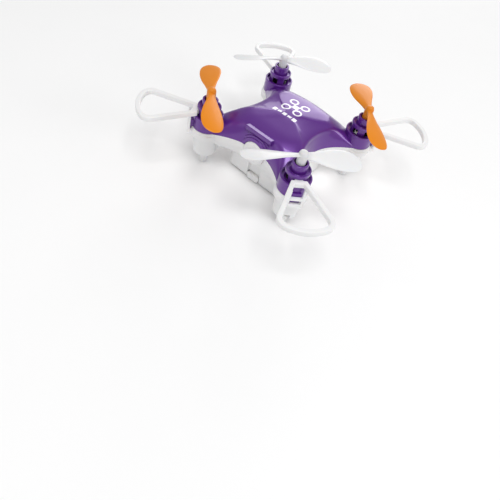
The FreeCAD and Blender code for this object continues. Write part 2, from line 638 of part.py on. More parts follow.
def make_bottom_shell():
    """White lower shell: battery box, arms, motor cups and guard brackets."""
    hull = make_lower_hull()
    added = [hull]
    removed = [make_lower_cavity()]
    for pod in PODS:
        walls, spaces = make_lower_pod(pod)
        added += walls
        removed += spaces
    solid = fused("bottom_outside", added)
    hollow = cut("bottom_hollow", solid, removed + bay_cutters())
    posts = [cylinder("board_post_" + pod, "post_radius", "deck_top - 0.2", "board_bottom",
                      "%d * post_x" % x_sign, "%d * post_y" % y_sign)
             for pod, (x_sign, y_sign) in PODS.items()]
    bosses = group_of("Part::MultiCommon", "bottom_bosses_inside", [
        fused("bottom_bosses", screw_posts("bottom_boss", "boss_radius", "7", "boss_split")), hull])
    joined = fused("bottom_with_posts", [hollow, bosses] + posts)
    holes = screw_posts("screw_hole", "screw_clearance", "6", "boss_split + 1")
    holes += screw_posts("stem_space", "boss_radius + running_gap", "boss_split",
                         "seam_height + 1")
    recesses = screw_posts("head_recess", "head_recess_radius", "5",
                           "screw_head_bottom + screw_head_tall")
    seat = nose_cylinder("bottom_nose_seat", "nose_seat", "nose_back - 0.1", "arch_face + 2")
    label(cut("bottom_shell", joined, holes + recesses + [seat]), "bottom_shell")


# ---------------------------------------------------------------- small shell parts

def make_foot_caps():
    """Plug that closes each motor cup from below and carries the rounded foot."""
    for pod in PODS:
        cap = turned("foot_cap_" + pod, [[
            ("0", "0"), ("foot_tip_radius - foot_round", "0"), ("foot_tip_radius", "foot_round"),
            ("foot_tip_radius", "foot_plug_bottom"), ("foot_plug_radius", "foot_plug_bottom"),
            ("foot_plug_radius", "foot_plug_top"), ("0", "foot_plug_top")]])
        label(at_pod(cap, pod), "foot_cap_" + pod)


def make_nose_blank():
    """Plain round blank in the nose, its face slightly crowned."""
    disc = nose_cylinder("nose_disc", "nose_radius", "nose_back", "nose_face - nose_crown")
    crown = nose_cylinder("nose_crown_disc", "nose_radius - nose_crown_inset", "nose_back",
                          "nose_face")
    label(fused("nose_blank", [disc, crown]), "nose_blank")


def make_battery_cover():
    """Sliding cover under the battery with side tongues, grip ribs and the front snap tab."""
    plate = box("cover_plate", ("-cover_half_x", "-cover_front", "box_bottom"),
                ("cover_half_x", "cover_rear", "cover_top"))
    tongues = box("cover_tongues", ("-rail_half_x + 0.1", "-cover_front", "rail_bottom + 0.05"),
                  ("rail_half_x - 0.1", "cover_rear", "cover_top"))
    tab = doc.addObject("PartDesign::Body", "cover_tab")
    sketch = new_sketch(tab, "tab_outline", "XZ_Plane", "cover_front - 0.1")
    rounding = "%f * tab_corner" % ARC_INSET
    add_outline(sketch, [
        ("-tab_half_width", "box_bottom"), ("tab_half_width", "box_bottom"),
        ("tab_half_width", "tab_top - tab_corner"), ("tab_half_width - tab_corner", "tab_top"),
        ("-tab_half_width + tab_corner", "tab_top"), ("-tab_half_width", "tab_top - tab_corner")],
        {2: ("tab_half_width - " + rounding, "tab_top - " + rounding),
         4: ("-tab_half_width + " + rounding, "tab_top - " + rounding)})
    pad = tab.newObject("PartDesign::Pad", "tab_pad")
    pad.Profile = sketch
    bind(pad, "Length", "tab_front - cover_front + 0.1")
    doc.recompute()
    ribs = [box("grip_rib_%d" % number,
                ("-grip_half_x", "grip_front + %d * grip_step" % number, "box_bottom - grip_rib"),
                ("grip_half_x", "grip_front + grip_wide + %d * grip_step" % number,
                 "box_bottom + 0.1")) for number in range(4)]
    label(fused("battery_cover", [plate, tongues, tab] + ribs), "battery_cover")


def guard_outline(inset):
    """Points of the guard's edge, moved inward by inset: two straight sides, two corner arcs
    and the bowed outer bar, all tangent."""
    reach, offset = size("guard_corner_reach"), size("guard_corner_offset")
    corner = size("guard_corner_radius") - inset
    tip = size("guard_tip_reach") - inset
    gap = tip - corner
    bow_centre = (gap ** 2 - reach ** 2 - offset ** 2) / (2 * (gap - reach))
    bow = tip - bow_centre
    lean = math.atan2(offset, reach - bow_centre)
    if inset:
        root_x, root_y = size("guard_web_reach"), size("guard_web_half")
    else:
        root_x, root_y = size("guard_root"), size("guard_root_half")
    away_x, away_y = reach - root_x, offset - root_y
    span = math.hypot(away_x, away_y)
    side = math.atan2(away_y, away_x) + math.asin(corner / span)
    touch = FreeCAD.Vector(reach - corner * math.sin(side), offset + corner * math.cos(side), 0)
    sweep = (side + math.pi / 2 + lean) / 2
    shoulder = FreeCAD.Vector(reach + corner * math.cos(sweep), offset + corner * math.sin(sweep), 0)
    meet = FreeCAD.Vector(bow_centre + bow * math.cos(lean), bow * math.sin(lean), 0)
    tip_point = FreeCAD.Vector(tip, 0, 0)
    root = FreeCAD.Vector(root_x, root_y, 0)
    return root, touch, shoulder, meet, tip_point


def guard_wire(inset):
    """Closed wire of the guard's edge, moved inward by inset."""
    def mirrored(point):
        return FreeCAD.Vector(point.x, -point.y, 0)
    root, touch, shoulder, meet, tip = guard_outline(inset)
    edges = [
        Part.LineSegment(mirrored(root), mirrored(touch)).toShape(),
        Part.Arc(mirrored(touch), mirrored(shoulder), mirrored(meet)).toShape(),
        Part.Arc(mirrored(meet), tip, meet).toShape(),
        Part.Arc(meet, shoulder, touch).toShape(),
        Part.LineSegment(touch, root).toShape(),
        Part.LineSegment(root, mirrored(root)).toShape(),
    ]
    return Part.Wire(edges)


def make_guards():
    """Loop round each propeller's outer side, with the plug that snaps into its pod."""
    for pod in PODS:
        ring = Part.Face(guard_wire(0.0)).cut(Part.Face(guard_wire(size("guard_bar"))))
        loop = doc.addObject("Part::Feature", "guard_loop_" + pod)
        raised = ring.translated(FreeCAD.Vector(0, 0, size("guard_bottom")))
        loop.Shape = raised.extrude(FreeCAD.Vector(0, 0, size("guard_thick")))
        at_pod(loop, pod)
        plug = pod_box("guard_plug_" + pod, pod,
                       ("plug_reach", "-plug_half_width", "guard_bottom + plug_gap"),
                       ("guard_root + 0.2", "plug_half_width",
                        "guard_bottom + guard_thick - plug_gap"))
        label(fused("guard_" + pod, [loop, plug]), "guard_" + pod)


# ---------------------------------------------------------------- motors and propellers

def make_motor(pod):
    """Fixed pieces of one coreless motor: can, magnet, two bushes and end cap."""
    can_top = "can_bottom + can_length"
    inner = "can_radius - can_wall"
    can = turned("motor_can_" + pod, [[
        ("bush_radius + fit_gap", "(%s) - can_roof" % can_top),
        (inner, "(%s) - can_roof" % can_top), (inner, "can_bottom"),
        ("can_radius", "can_bottom"), ("can_radius", can_top),
        ("bush_radius + fit_gap", can_top)]])
    label(at_pod(can, pod), "motor_can_" + pod)
    magnet = turned("motor_magnet_" + pod, [[
        ("bush_radius + fit_gap", "magnet_bottom"), ("magnet_radius", "magnet_bottom"),
        ("magnet_radius", "(%s) - can_roof" % can_top),
        ("bush_radius + fit_gap", "(%s) - can_roof" % can_top)]])
    label(at_pod(magnet, pod), "motor_magnet_" + pod)
    bore = "shaft_radius + running_gap"
    upper = turned("upper_bush_" + pod, [[
        (bore, "(%s) - bush_length" % can_top), ("bush_radius", "(%s) - bush_length" % can_top),
        ("bush_radius", "(%s) + 0.2" % can_top), (bore, "(%s) + 0.2" % can_top)]])
    lower = turned("lower_bush_" + pod, [[
        (bore, "can_bottom + 0.1"), ("bush_radius", "can_bottom + 0.1"),
        ("bush_radius", "can_bottom + end_cap_thick"), (bore, "can_bottom + end_cap_thick")]])
    label(assembled("motor_bushes_" + pod, [at_pod(upper, pod), at_pod(lower, pod)]),
          "motor_bushes_" + pod)
    end_cap = turned("motor_end_cap_" + pod, [[
        ("bush_radius + fit_gap", "can_bottom"), ("%s - fit_gap" % inner, "can_bottom"),
        ("%s - fit_gap" % inner, "can_bottom + end_cap_thick"),
        ("bush_radius + fit_gap", "can_bottom + end_cap_thick")]])
    label(at_pod(end_cap, pod), "motor_end_cap_" + pod)


def make_rotor(pod):
    """Turning pieces of one motor: shaft and bell-shaped coil."""
    shaft_top = "hub_bottom + hub_bore_depth"
    shaft = turned("motor_shaft_" + pod, [[
        ("0", "shaft_bottom"), ("shaft_radius", "shaft_bottom"), ("shaft_radius", shaft_top),
        ("0", shaft_top)]])
    label(at_pod(shaft, pod), "motor_shaft_" + pod)
    bore = "shaft_radius + fit_gap"
    inner = "coil_radius - coil_wall"
    coil = turned("motor_coil_" + pod, [[
        (bore, "coil_bottom"), ("coil_radius", "coil_bottom"), ("coil_radius", "coil_top"),
        (inner, "coil_top"), (inner, "coil_bottom + coil_disc"),
        (bore, "coil_bottom + coil_disc")]])
    label(at_pod(coil, pod), "motor_coil_" + pod)


def blade_section(station, hand):
    """Ellipse-like wire of one blade station, in the plane across the blade."""
    share, chord, thick, pitch, sweep = station
    reach = size("blade_length") * share
    ellipse = Part.Ellipse(FreeCAD.Vector(0, 0, 0), chord / 2, thick / 2).toShape()
    wire = Part.Wire([ellipse])
    wire.rotate(FreeCAD.Vector(0, 0, 0), FreeCAD.Vector(1, 0, 0), 90)
    wire.rotate(FreeCAD.Vector(0, 0, 0), FreeCAD.Vector(0, 0, 1), 90)
    wire.rotate(FreeCAD.Vector(0, 0, 0), FreeCAD.Vector(1, 0, 0), hand * pitch)
    drop = size("blade_droop") * share ** 1.5
    wire.translate(FreeCAD.Vector(reach, hand * sweep, size("blade_height") - drop))
    return wire


def make_propeller(pod):
    """Two-bladed propeller, its blades about square to the arm at rest."""
    x_sign, y_sign = PODS[pod]
    hand = -x_sign * y_sign
    hub = at_pod(turned("hub_" + pod, [[
        ("shaft_radius + fit_gap", "hub_bottom"), ("hub_radius", "hub_bottom"),
        ("hub_radius", "hub_top - hub_round"),
        ("hub_radius - hub_crown_inset", "hub_top - hub_crown"), ("0", "hub_top"),
        ("0", "hub_bottom + hub_bore_depth + fit_gap"),
        ("shaft_radius + fit_gap", "hub_bottom + hub_bore_depth + fit_gap")]]), pod)
    blades = []
    for side in (90, 270):
        blade = doc.addObject("Part::Feature", "blade_%s_%d" % (pod, side))
        sections = [blade_section(station, hand) for station in BLADE_STATIONS]
        blade.Shape = Part.makeLoft(sections, True, False)
        blades.append(at_pod(blade, pod, side + REST_TURNS.get(pod, 0.0)))
    label(fused("propeller_solid_" + pod, [hub] + blades), "propeller_" + pod)


# ---------------------------------------------------------------- board, battery, wiring

def make_board():
    """Main circuit board with chamfered corners."""
    corners, _ = rectangle_outline("board_half_x", "board_half_y", "board_corner")
    label(padded("main_board", corners, "board_bottom", "board_thick"), "main_board")


def board_box(name, kind, x, y, lift="0"):
    """Box of one kind of component, centred at a place on the board."""
    base = "board_bottom + board_thick + (%s)" % lift
    return box(name, ("(%s) - %s_long / 2" % (x, kind), "(%s) - %s_wide / 2" % (y, kind), base),
               ("(%s) + %s_long / 2" % (x, kind), "(%s) + %s_wide / 2" % (y, kind),
                "%s + %s_tall" % (base, kind)))


def make_board_parts():
    """Chips, socket and the small repeated components."""
    for name in BOARD_PARTS:
        label(board_box(name + "_solid", name, name + "_place_x", name + "_place_y"), name)
    for node, kind, places in (("motor_transistors", "transistor", TRANSISTOR_PLACES),
                               ("capacitors", "capacitor", CAPACITOR_PLACES),
                               ("status_lamps", "lamp", LAMP_PLACES)):
        members = [board_box("%s_%d" % (kind, number), kind, x, y)
                   for number, (x, y) in enumerate(places)]
        label(assembled(node + "_group", members), node)


def make_switch():
    """Slide switch at the board's rear edge, its knob through the rear wall."""
    body = board_box("switch_case", "switch_body", "switch_body_place_x", "switch_body_place_y")
    label(body, "power_switch_body")
    centre = "-switch_travel / 2"
    stem = box("knob_stem", ("%s - knob_half_x" % centre, "knob_inner", "knob_bottom"),
               ("%s + knob_half_x" % centre, "knob_face", "knob_top"))
    ridge = box("knob_ridge", ("%s - 0.25" % centre, "knob_face - 0.1", "knob_bottom"),
                ("%s + 0.25" % centre, "knob_face + 0.25", "knob_top"))
    label(fused("power_switch_knob_solid", [stem, ridge]), "power_switch_knob")


def make_battery():
    """Soft-pack cell, the foam strip over it, and the plug on its leads."""
    cell = doc.addObject("PartDesign::Body", "cell")
    sketch = new_sketch(cell, "cell_outline", "XZ_Plane", "-cell_rear")
    rounding = "%f * cell_round" % ARC_INSET
    add_outline(sketch, [
        ("-cell_half_x + cell_round", "cell_bottom"), ("cell_half_x - cell_round", "cell_bottom"),
        ("cell_half_x", "cell_bottom + cell_round"), ("cell_half_x", "cell_top - cell_round"),
        ("cell_half_x - cell_round", "cell_top"), ("-cell_half_x + cell_round", "cell_top"),
        ("-cell_half_x", "cell_top - cell_round"), ("-cell_half_x", "cell_bottom + cell_round")],
        {1: ("cell_half_x - " + rounding, "cell_bottom + " + rounding),
         3: ("cell_half_x - " + rounding, "cell_top - " + rounding),
         5: ("-cell_half_x + " + rounding, "cell_top - " + rounding),
         7: ("-cell_half_x + " + rounding, "cell_bottom + " + rounding)})
    pad = cell.newObject("PartDesign::Pad", "cell_pad")
    pad.Profile = sketch
    bind(pad, "Length", "cell_front + cell_rear")
    doc.recompute()
    label(cell, "battery_cell")
    label(box("foam", ("-foam_half_x", "-foam_half_y", "cell_top"),
              ("foam_half_x", "foam_half_y", "bay_roof")), "battery_foam")
    plug_back = "battery_socket_place_y + battery_socket_wide / 2"
    low = "board_bottom + board_thick"
    label(box("plug", ("battery_socket_place_x - 2.3", "%s + 0.02" % plug_back, low + " + 0.2"),
              ("battery_socket_place_x + 2.3", "%s + 2.6" % plug_back,
               low + " + battery_socket_tall - 0.2")), "battery_plug")


def make_battery_wires():
    """Two leads from the cell's end, up through the deck and into the plug."""
    radius = size("battery_wire_radius")
    cell_end = size("cell_rear")
    channel = size("bay_half_y") - 0.75
    plug_end = size("battery_socket_place_y + battery_socket_wide / 2") + 2.6
    wire_top = size("board_bottom + board_thick") + 1.3
    wire_low = size("cell_bottom") + 2.0
    for name, shift in (("battery_lead_red", -0.9), ("battery_lead_black", 0.9)):
        x = size("battery_socket_place_x") + shift
        label(bent_wire(name + "_wire", [(x, cell_end, wire_low), (x, channel, wire_low),
                                         (x, channel, wire_top), (x, plug_end, wire_top)],
                        radius, 0.45), name)


def make_motor_wires():
    """Each motor's two leads: under its end cap, up the cup's slot and along the arm."""
    radius, offset = size("motor_wire_radius"), size("motor_wire_offset")
    under = size("can_bottom") - radius - 0.1
    riser = size("cup_bore") + 0.33
    along = size("ring_bottom") + 0.95
    pad = size("arm_reach - wire_pad_reach")
    board_top = size("board_bottom + board_thick")
    for name, side in (("motor_leads_red", 1), ("motor_leads_blue", -1)):
        members = []
        for pod in PODS:
            route = [(-0.9, side * offset, under), (-riser, side * offset, under),
                     (-riser, side * offset, along), (-pad, side * offset, along),
                     (-pad, side * offset, board_top)]
            members.append(at_pod(bent_wire("%s_%s" % (name, pod), route, radius, 0.4), pod))
        label(assembled(name + "_group", members), name)


def make_antenna():
    """Short radio wire from the board's edge, lying along the left side of the shell."""
    board_top = size("board_bottom + board_thick")
    x = size("antenna_root_x")
    root, run = size("antenna_root_y"), size("antenna_run_y")
    low, high = board_top + size("antenna_rise"), board_top + size("antenna_height")
    bend_x, end_x = size("antenna_bend_x"), size("antenna_end_x")
    label(bent_wire("antenna", [(x, root, board_top), (x, root, low), (bend_x, run, high),
                                (end_x, run, high)],
                    size("antenna_radius"), size("antenna_bend")), "antenna_wire")


def make_screws():
    """Four self-tapping screws that hold the shells together, entered from below."""
    screws = []
    for pod, (x_sign, y_sign) in PODS.items():
        screw = turned("screw_" + pod, [[
            ("0", "screw_head_bottom + 0.35"), ("0.45", "screw_head_bottom + 0.35"),
            ("0.45", "screw_head_bottom"), ("screw_head_radius - 0.2", "screw_head_bottom"),
            ("screw_head_radius", "screw_head_bottom + 0.25"),
            ("screw_head_radius", "screw_head_bottom + screw_head_tall"),
            ("screw_radius", "screw_head_bottom + screw_head_tall"),
            ("screw_radius", "screw_tip - 0.5"), ("0.2", "screw_tip"), ("0", "screw_tip")]])
        bind(screw, "Placement.Base.x", "%d * screw_x" % x_sign)
        bind(screw, "Placement.Base.y", "%d * screw_y" % y_sign)
        screws.append(screw)
    label(assembled("screws", screws), "shell_screws")


# ---------------------------------------------------------------- build and export

def check_document():
    """Stop if any object failed or any node's shape isn't sound."""
    doc.recompute()
    for item in doc.Objects:
        if "Invalid" in item.State or "Error" in item.State:
            raise RuntimeError("%s: %s" % (item.Name, item.State))
    for name, item in nodes.items():
        shape = item.Shape
        if shape.isNull() or not shape.isValid() or shape.Volume <= 0:
            raise RuntimeError(name + ": bad shape")


def export_nodes():
    """Write each node to its own file."""
    os.makedirs("parts", exist_ok=True)
    for name, item in nodes.items():
        item.Shape.exportStep("parts/%s.step" % name)
        print("%-28s %d solids %10.3f mm3" % (name, len(item.Shape.Solids), item.Shape.Volume))


def main():
    """Build the whole aircraft and write its parts."""
    fill_sheet()
    make_top_shell()
    make_bottom_shell()
    make_foot_caps()
    make_nose_blank()
    make_battery_cover()
    make_guards()
    for pod in PODS:
        make_motor(pod)
        make_rotor(pod)
        make_propeller(pod)
    make_board()
    make_board_parts()
    make_switch()
    make_battery()
    make_battery_wires()
    make_motor_wires()
    make_antenna()
    make_screws()
    check_document()
    export_nodes()


main()
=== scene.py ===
"""Palm-size quadcopter: detailed shells, guards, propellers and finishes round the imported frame."""

import json
import logging
import math
from dataclasses import dataclass, field
from enum import Enum
from typing import Callable, Iterable, Sequence, Union

import bmesh
import bpy
from mathutils import Matrix, Vector


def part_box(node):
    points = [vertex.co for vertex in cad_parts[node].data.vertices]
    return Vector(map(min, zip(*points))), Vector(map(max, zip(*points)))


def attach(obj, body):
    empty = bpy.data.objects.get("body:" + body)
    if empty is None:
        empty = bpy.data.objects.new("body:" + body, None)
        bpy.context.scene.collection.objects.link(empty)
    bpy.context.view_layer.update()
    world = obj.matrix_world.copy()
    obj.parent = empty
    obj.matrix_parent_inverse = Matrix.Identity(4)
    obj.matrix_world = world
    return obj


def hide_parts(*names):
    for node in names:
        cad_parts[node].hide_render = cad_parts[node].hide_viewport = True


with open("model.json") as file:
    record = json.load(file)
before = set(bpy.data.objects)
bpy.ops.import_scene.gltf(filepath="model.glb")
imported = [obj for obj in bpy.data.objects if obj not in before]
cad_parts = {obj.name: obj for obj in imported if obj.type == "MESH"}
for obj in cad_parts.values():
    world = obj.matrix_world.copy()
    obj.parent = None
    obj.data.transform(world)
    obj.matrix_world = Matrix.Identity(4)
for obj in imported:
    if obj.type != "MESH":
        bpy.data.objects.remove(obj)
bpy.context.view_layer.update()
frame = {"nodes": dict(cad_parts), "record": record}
LOG = logging.getLogger("quadcopter")

MM = 0.001
PODS = {"front_right": (-1, -1), "front_left": (1, -1), "rear_left": (1, 1), "rear_right": (-1, 1)}
CAN_LOW, CAN_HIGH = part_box("motor_can_front_left")
POD_HALF = ((CAN_LOW + CAN_HIGH) / (2 * MM)).x

NOSE_TURN = Matrix.Translation((0, 0, 11.9 * MM)) @ Matrix.Rotation(math.radians(90), 4, "X")
SCREW_PLACE = (9.3, 12.3)
SEAM = 12.8

Outline = list[Vector]
Number = Union[int, float]
Place = tuple[float, float, float]
Steps = tuple[tuple[float, float], ...]


# ---------------------------------------------------------------- shader maths

class Kind(Enum):
    """What a shader value holds."""

    NUMBER = "number"
    VECTOR = "vector"
    COLOUR = "colour"


class Value:
    """A shader socket that Python's operators work on."""

    def __init__(self, graph: "Graph", socket: bpy.types.NodeSocket, kind: Kind = Kind.NUMBER) -> None:
        """Wrap a socket.

        Args:
            graph: The material graph that the socket belongs to.
            socket: The output socket.
            kind: Whether it holds a number, a vector or a colour.
        """
        self.graph = graph
        self.socket = socket
        self.kind = kind

    def _maths(self, operation: str, left: object, right: object) -> "Value":
        """Add the node for one operation.

        Args:
            operation: The node's operation.
            left: First operand, a Value or a number.
            right: Second operand, a Value or a number.

        Returns:
            The result, a vector if this value is one.
        """
        if self.kind is Kind.VECTOR:
            spread = [(side,) * 3 if isinstance(side, (int, float)) else side for side in (left, right)]
            return self.graph.node("ShaderNodeVectorMath", {"operation": operation},
                                   {0: spread[0], 1: spread[1]}, kind=Kind.VECTOR)
        return self.graph.node("ShaderNodeMath", {"operation": operation}, {0: left, 1: right})

    def __add__(self, other: object) -> "Value":
        """Sum."""
        return self._maths("ADD", self, other)

    def __radd__(self, other: object) -> "Value":
        """Sum with the number first."""
        return self._maths("ADD", other, self)

    def __sub__(self, other: object) -> "Value":
        """Difference."""
        return self._maths("SUBTRACT", self, other)

    def __rsub__(self, other: object) -> "Value":
        """Difference with the number first."""
        return self._maths("SUBTRACT", other, self)

    def __mul__(self, other: object) -> "Value":
        """Product."""
        return self._maths("MULTIPLY", self, other)

    def __rmul__(self, other: object) -> "Value":
        """Product with the number first."""
        return self._maths("MULTIPLY", other, self)

    def __abs__(self) -> "Value":
        """Size without its sign."""
        return self._maths("ABSOLUTE", self, 0.0)

    def least(self, other: object) -> "Value":
        """Smaller of two numbers, which is the union of two distances."""
        return self._maths("MINIMUM", self, other)

    def most(self, other: object) -> "Value":
        """Larger of two numbers, which is where two distances meet."""
        return self._maths("MAXIMUM", self, other)

    def below(self, edge: Number, soft: Number) -> "Value":
        """Mask that is 1 below an edge and 0 above it.

        Args:
            edge: The value at the middle of the step.
            soft: Width of the step.

        Returns:
            The mask.
        """
        return self.graph.node("ShaderNodeMapRange", {"interpolation_type": "SMOOTHSTEP"},
                               {"Value": self, "From Min": edge - soft / 2, "From Max": edge + soft / 2,
                                "To Min": 1.0, "To Max": 0.0})


class Graph:
    """Nodes of one material."""

    def __init__(self, name: str) -> None:
        """Start an empty material.

        Args:
            name: The material's name.
        """
        self.material = bpy.data.materials.new(name)
        self.material.use_nodes = True
        self.tree = self.material.node_tree
        self.shader = self.tree.nodes["Principled BSDF"]

    def node(self, type_name: str, settings: dict[str, object], inputs: dict[object, object],
             output: Union[int, str] = 0, kind: Kind = Kind.NUMBER) -> Value:
        """Add any node.

        Args:
            type_name: The node's type.
            settings: Its settings, set first.
            inputs: Value, number or tuple for each input, by name or index.
            output: The output to return.
            kind: What that output holds.

        Returns:
            The output as a Value.
        """
        made = self.tree.nodes.new(type_name)
        for name, setting in settings.items():
            setattr(made, name, setting)
        for key, given in inputs.items():
            if isinstance(given, Value):
                self.tree.links.new(given.socket, made.inputs[key])
            else:
                made.inputs[key].default_value = given
        return Value(self, made.outputs[output], kind)

    def place(self) -> Value:
        """Place on the object in millimetres."""
        metres = self.node("ShaderNodeTexCoord", {}, {}, "Object", Kind.VECTOR)
        return metres * (1 / MM)

    def parts(self, vector: Value) -> tuple[Value, Value, Value]:
        """Three components of a vector."""
        split = self.node("ShaderNodeSeparateXYZ", {}, {0: vector})
        return tuple(Value(self, socket) for socket in split.socket.node.outputs)

    def noise(self, place: Value, grain: Number, detail: Number = 3.0) -> Value:
        """Soft noise from 0 to 1.

        Args:
            place: Where, in millimetres.
            grain: Size of its patches in millimetres.
            detail: Octaves.

        Returns:
            The noise.
        """
        return self.node("ShaderNodeTexNoise", {}, {"Vector": place, "Scale": 1 / grain, "Detail": detail})

    def mix(self, share: object, first: object, second: object) -> Value:
        """Colour between two, by a share from 0 to 1."""
        def full(colour: object) -> object:
            return colour if isinstance(colour, Value) else (*colour, 1.0)
        return self.node("ShaderNodeMix", {"data_type": "RGBA"}, {0: share, 6: full(first), 7: full(second)},
                         2, Kind.COLOUR)

    def feed(self, socket_name: str, given: object) -> None:
        """Set or link one of the shader's own inputs."""
        if isinstance(given, Value):
            self.tree.links.new(given.socket, self.shader.inputs[socket_name])
        else:
            self.shader.inputs[socket_name].default_value = given

    def bump(self, height: Value, depth: Number) -> None:
        """Raise the surface.

        Args:
            height: Height from 0 to 1.
            depth: Height of 1, in millimetres.
        """
        self.feed("Normal", self.node("ShaderNodeBump", {}, {"Height": height, "Distance": depth * MM,
                                                            "Strength": 1.0}, kind=Kind.VECTOR))


# ---------------------------------------------------------------- finishes

Colour = tuple[float, float, float]


def pod_reach(graph: Graph, place: Value) -> Value:
    """Distance from the nearest motor axis, in millimetres.

    Args:
        graph: The material graph.
        place: Place in millimetres.

    Returns:
        The distance.
    """
    x, y, _ = graph.parts(place)
    side, rise = abs(x) - POD_HALF, abs(y) - POD_HALF
    return graph.node("ShaderNodeMath", {"operation": "SQRT"}, {0: side * side + rise * rise})


@dataclass(frozen=True)
class Finish:
    """Moulded or rolled surface with patchy colour, fine grain and varied roughness."""

    slot: str
    colour: Colour
    shade: Colour
    roughness: float = 0.4
    metallic: float = 0.0
    coat: float = 0.0
    coat_roughness: float = 0.1
    specular: float = 0.5
    scatter: float = 0.0
    scatter_radius: Colour = (1.0, 0.6, 0.35)
    smear: float = 0.3
    patch: float = 4.0
    grain: float = 0.12
    grain_depth: float = 0.004

    def colouring(self, graph: Graph, place: Value) -> Value:
        """Colour over the surface."""
        return graph.mix(graph.noise(place, self.patch), self.colour, self.shade)

    def relief(self, graph: Graph, place: Value) -> Value:
        """Height of the fine surface from 0 to 1."""
        return graph.noise(place, self.grain, 2.0)

    def gloss(self, graph: Graph, place: Value) -> Value:
        """Roughness over the surface: finer smears on the base roughness."""
        smears = graph.noise(place, self.patch / 2, 4.0) * self.smear + (1 - self.smear / 2)
        return self.roughness * smears

    def material(self) -> bpy.types.Material:
        """Build the finish's material."""
        graph = Graph(self.slot)
        place = graph.place()
        graph.feed("Base Color", self.colouring(graph, place))
        graph.feed("Roughness", self.gloss(graph, place))
        graph.feed("Metallic", self.metallic)
        graph.feed("Coat Weight", self.coat)
        graph.feed("Coat Roughness", self.coat_roughness)
        graph.feed("Specular IOR Level", self.specular)
        if self.scatter:
            graph.feed("Subsurface Weight", self.scatter)
            graph.feed("Subsurface Radius", self.scatter_radius)
            graph.feed("Subsurface Scale", MM)
        graph.bump(self.relief(graph, place), self.grain_depth)
        return graph.material


@dataclass(frozen=True)
class ShellFinish(Finish):
    """Glossy pearl shell with a plain printed badge on its roof: a four-rotor outline over bars, and painted
    shade, near black, inside the windowed turrets.
    """

    badge_x: float = -0.6
    badge_y: float = 3.9
    badge_bottom: float = 17.4
    rotor_reach: float = 2.0
    rotor_ring: float = 1.15
    hub_radius: float = 0.95
    line_half: float = 0.25
    bar_heights: tuple[float, ...] = (0.75, 0.4125, 0.6, 0.4125, 0.75)
    bar_half: float = 0.62
    bar_step: float = 1.7
    bar_drop: float = 5.2
    print_colour: Colour = (0.86, 0.85, 0.9)
    # Painted shade: near-black colour, and the reach and top of the shade painted inside the turret bores
    # and windows.
    painted_shade_colour: Colour = (0.004, 0.003, 0.006)
    painted_shade_reach: float = 2.62
    painted_shade_top: float = 18.5

    def badge(self, graph: Graph, place: Value) -> Value:
        """Mask of the printed badge, 1 on the ink.

        Args:
            graph: The material graph.
            place: Place in millimetres.

        Returns:
            The mask.
        """
        x, y, z = graph.parts(place)
        across, along = x - self.badge_x, y - self.badge_y

        def distance(centre_x: float, centre_y: float) -> Value:
            """Distance from a point of the badge."""
            side, rise = across - centre_x, along - centre_y
            return graph.node("ShaderNodeMath", {"operation": "SQRT"}, {0: side * side + rise * rise})

        ink = distance(0, 0) - self.hub_radius
        for x_sign in (-1, 1):
            for y_sign in (-1, 1):
                rotor = distance(x_sign * self.rotor_reach, y_sign * self.rotor_reach)
                ink = ink.least(abs(rotor - self.rotor_ring) - self.line_half)
            arm = abs(across - x_sign * along) * math.sqrt(0.5) - self.line_half
            arm_end = self.rotor_reach * math.sqrt(2) - self.rotor_ring
            ink = ink.least(arm.most(distance(0, 0) - arm_end))
        for number, height in enumerate(self.bar_heights):
            bar_x = abs(across - (number - 2) * self.bar_step) - self.bar_half
            ink = ink.least(bar_x.most(abs(along + self.bar_drop) - height))
        return ink.below(0.0, 0.08) * (1 - z.below(self.badge_bottom, 0.1))

    def colouring(self, graph: Graph, place: Value) -> Value:
        """Purple with the badge's ink, and painted shade, near black, inside the windowed turrets."""
        body = super().colouring(graph, place)
        # Painted shade: mask of the turret insides, near each motor axis and below the turret top, painted
        # near black.
        hollow = pod_reach(graph, place).below(self.painted_shade_reach, 0.05)
        hollow = hollow * graph.parts(place)[2].below(self.painted_shade_top, 0.1)
        inked = graph.mix(self.badge(graph, place), body, self.print_colour)
        return graph.mix(hollow, inked, self.painted_shade_colour)


@dataclass(frozen=True)
class BladeFinish(Finish):
    """Thin moulded blade, with painted shade darkening it towards the hub."""

    # Painted shade: darker colour painted over the hub and the blade roots.
    hub_painted_shade: Colour = (0.6, 0.2, 0.02)
    hub_reach: float = 2.0
    hub_fade: float = 1.6

    def colouring(self, graph: Graph, place: Value) -> Value:
        """Blade colour, turning to a darker painted shade near each motor's axis."""
        body = super().colouring(graph, place)
        # Painted shade: the blade darkens towards the hub.
        return graph.mix(pod_reach(graph, place).below(self.hub_reach, self.hub_fade), body, self.hub_painted_shade)


@dataclass(frozen=True)
class BoardFinish(Finish):
    """Circuit board: solder mask over traces, with pads."""

    trace: Colour = (0.05, 0.22, 0.08)
    trace_scale: float = 0.9
    trace_width: float = 0.06
    trace_share: float = 0.8
    pad: Colour = (0.75, 0.68, 0.5)
    pad_scale: float = 0.7
    pad_size: float = 0.16

    def colouring(self, graph: Graph, place: Value) -> Value:
        """Mask colour with paler traces in a brick grid and round pads."""
        body = super().colouring(graph, place)
        lines = graph.node("ShaderNodeTexBrick", {}, {"Vector": place, "Scale": self.trace_scale,
                                                      "Mortar Size": self.trace_width}, "Fac")
        dots = graph.node("ShaderNodeTexVoronoi", {}, {"Vector": place, "Scale": self.pad_scale,
                                                       "Randomness": 0.2})
        traced = graph.mix(lines * self.trace_share, body, self.trace)
        return graph.mix(dots.below(self.pad_size, 0.03), traced, self.pad)


@dataclass(frozen=True)
class WoundFinish(Finish):
    """Fine wire wound round an upright former."""

    wire: float = 0.16

    def relief(self, graph: Graph, place: Value) -> Value:
        """Turns of wire as ridges along Z."""
        half = self.wire / 2
        ridges = graph.node("ShaderNodeMath", {"operation": "PINGPONG"}, {0: graph.parts(place)[2], 1: half})
        return ridges * (1 / half)


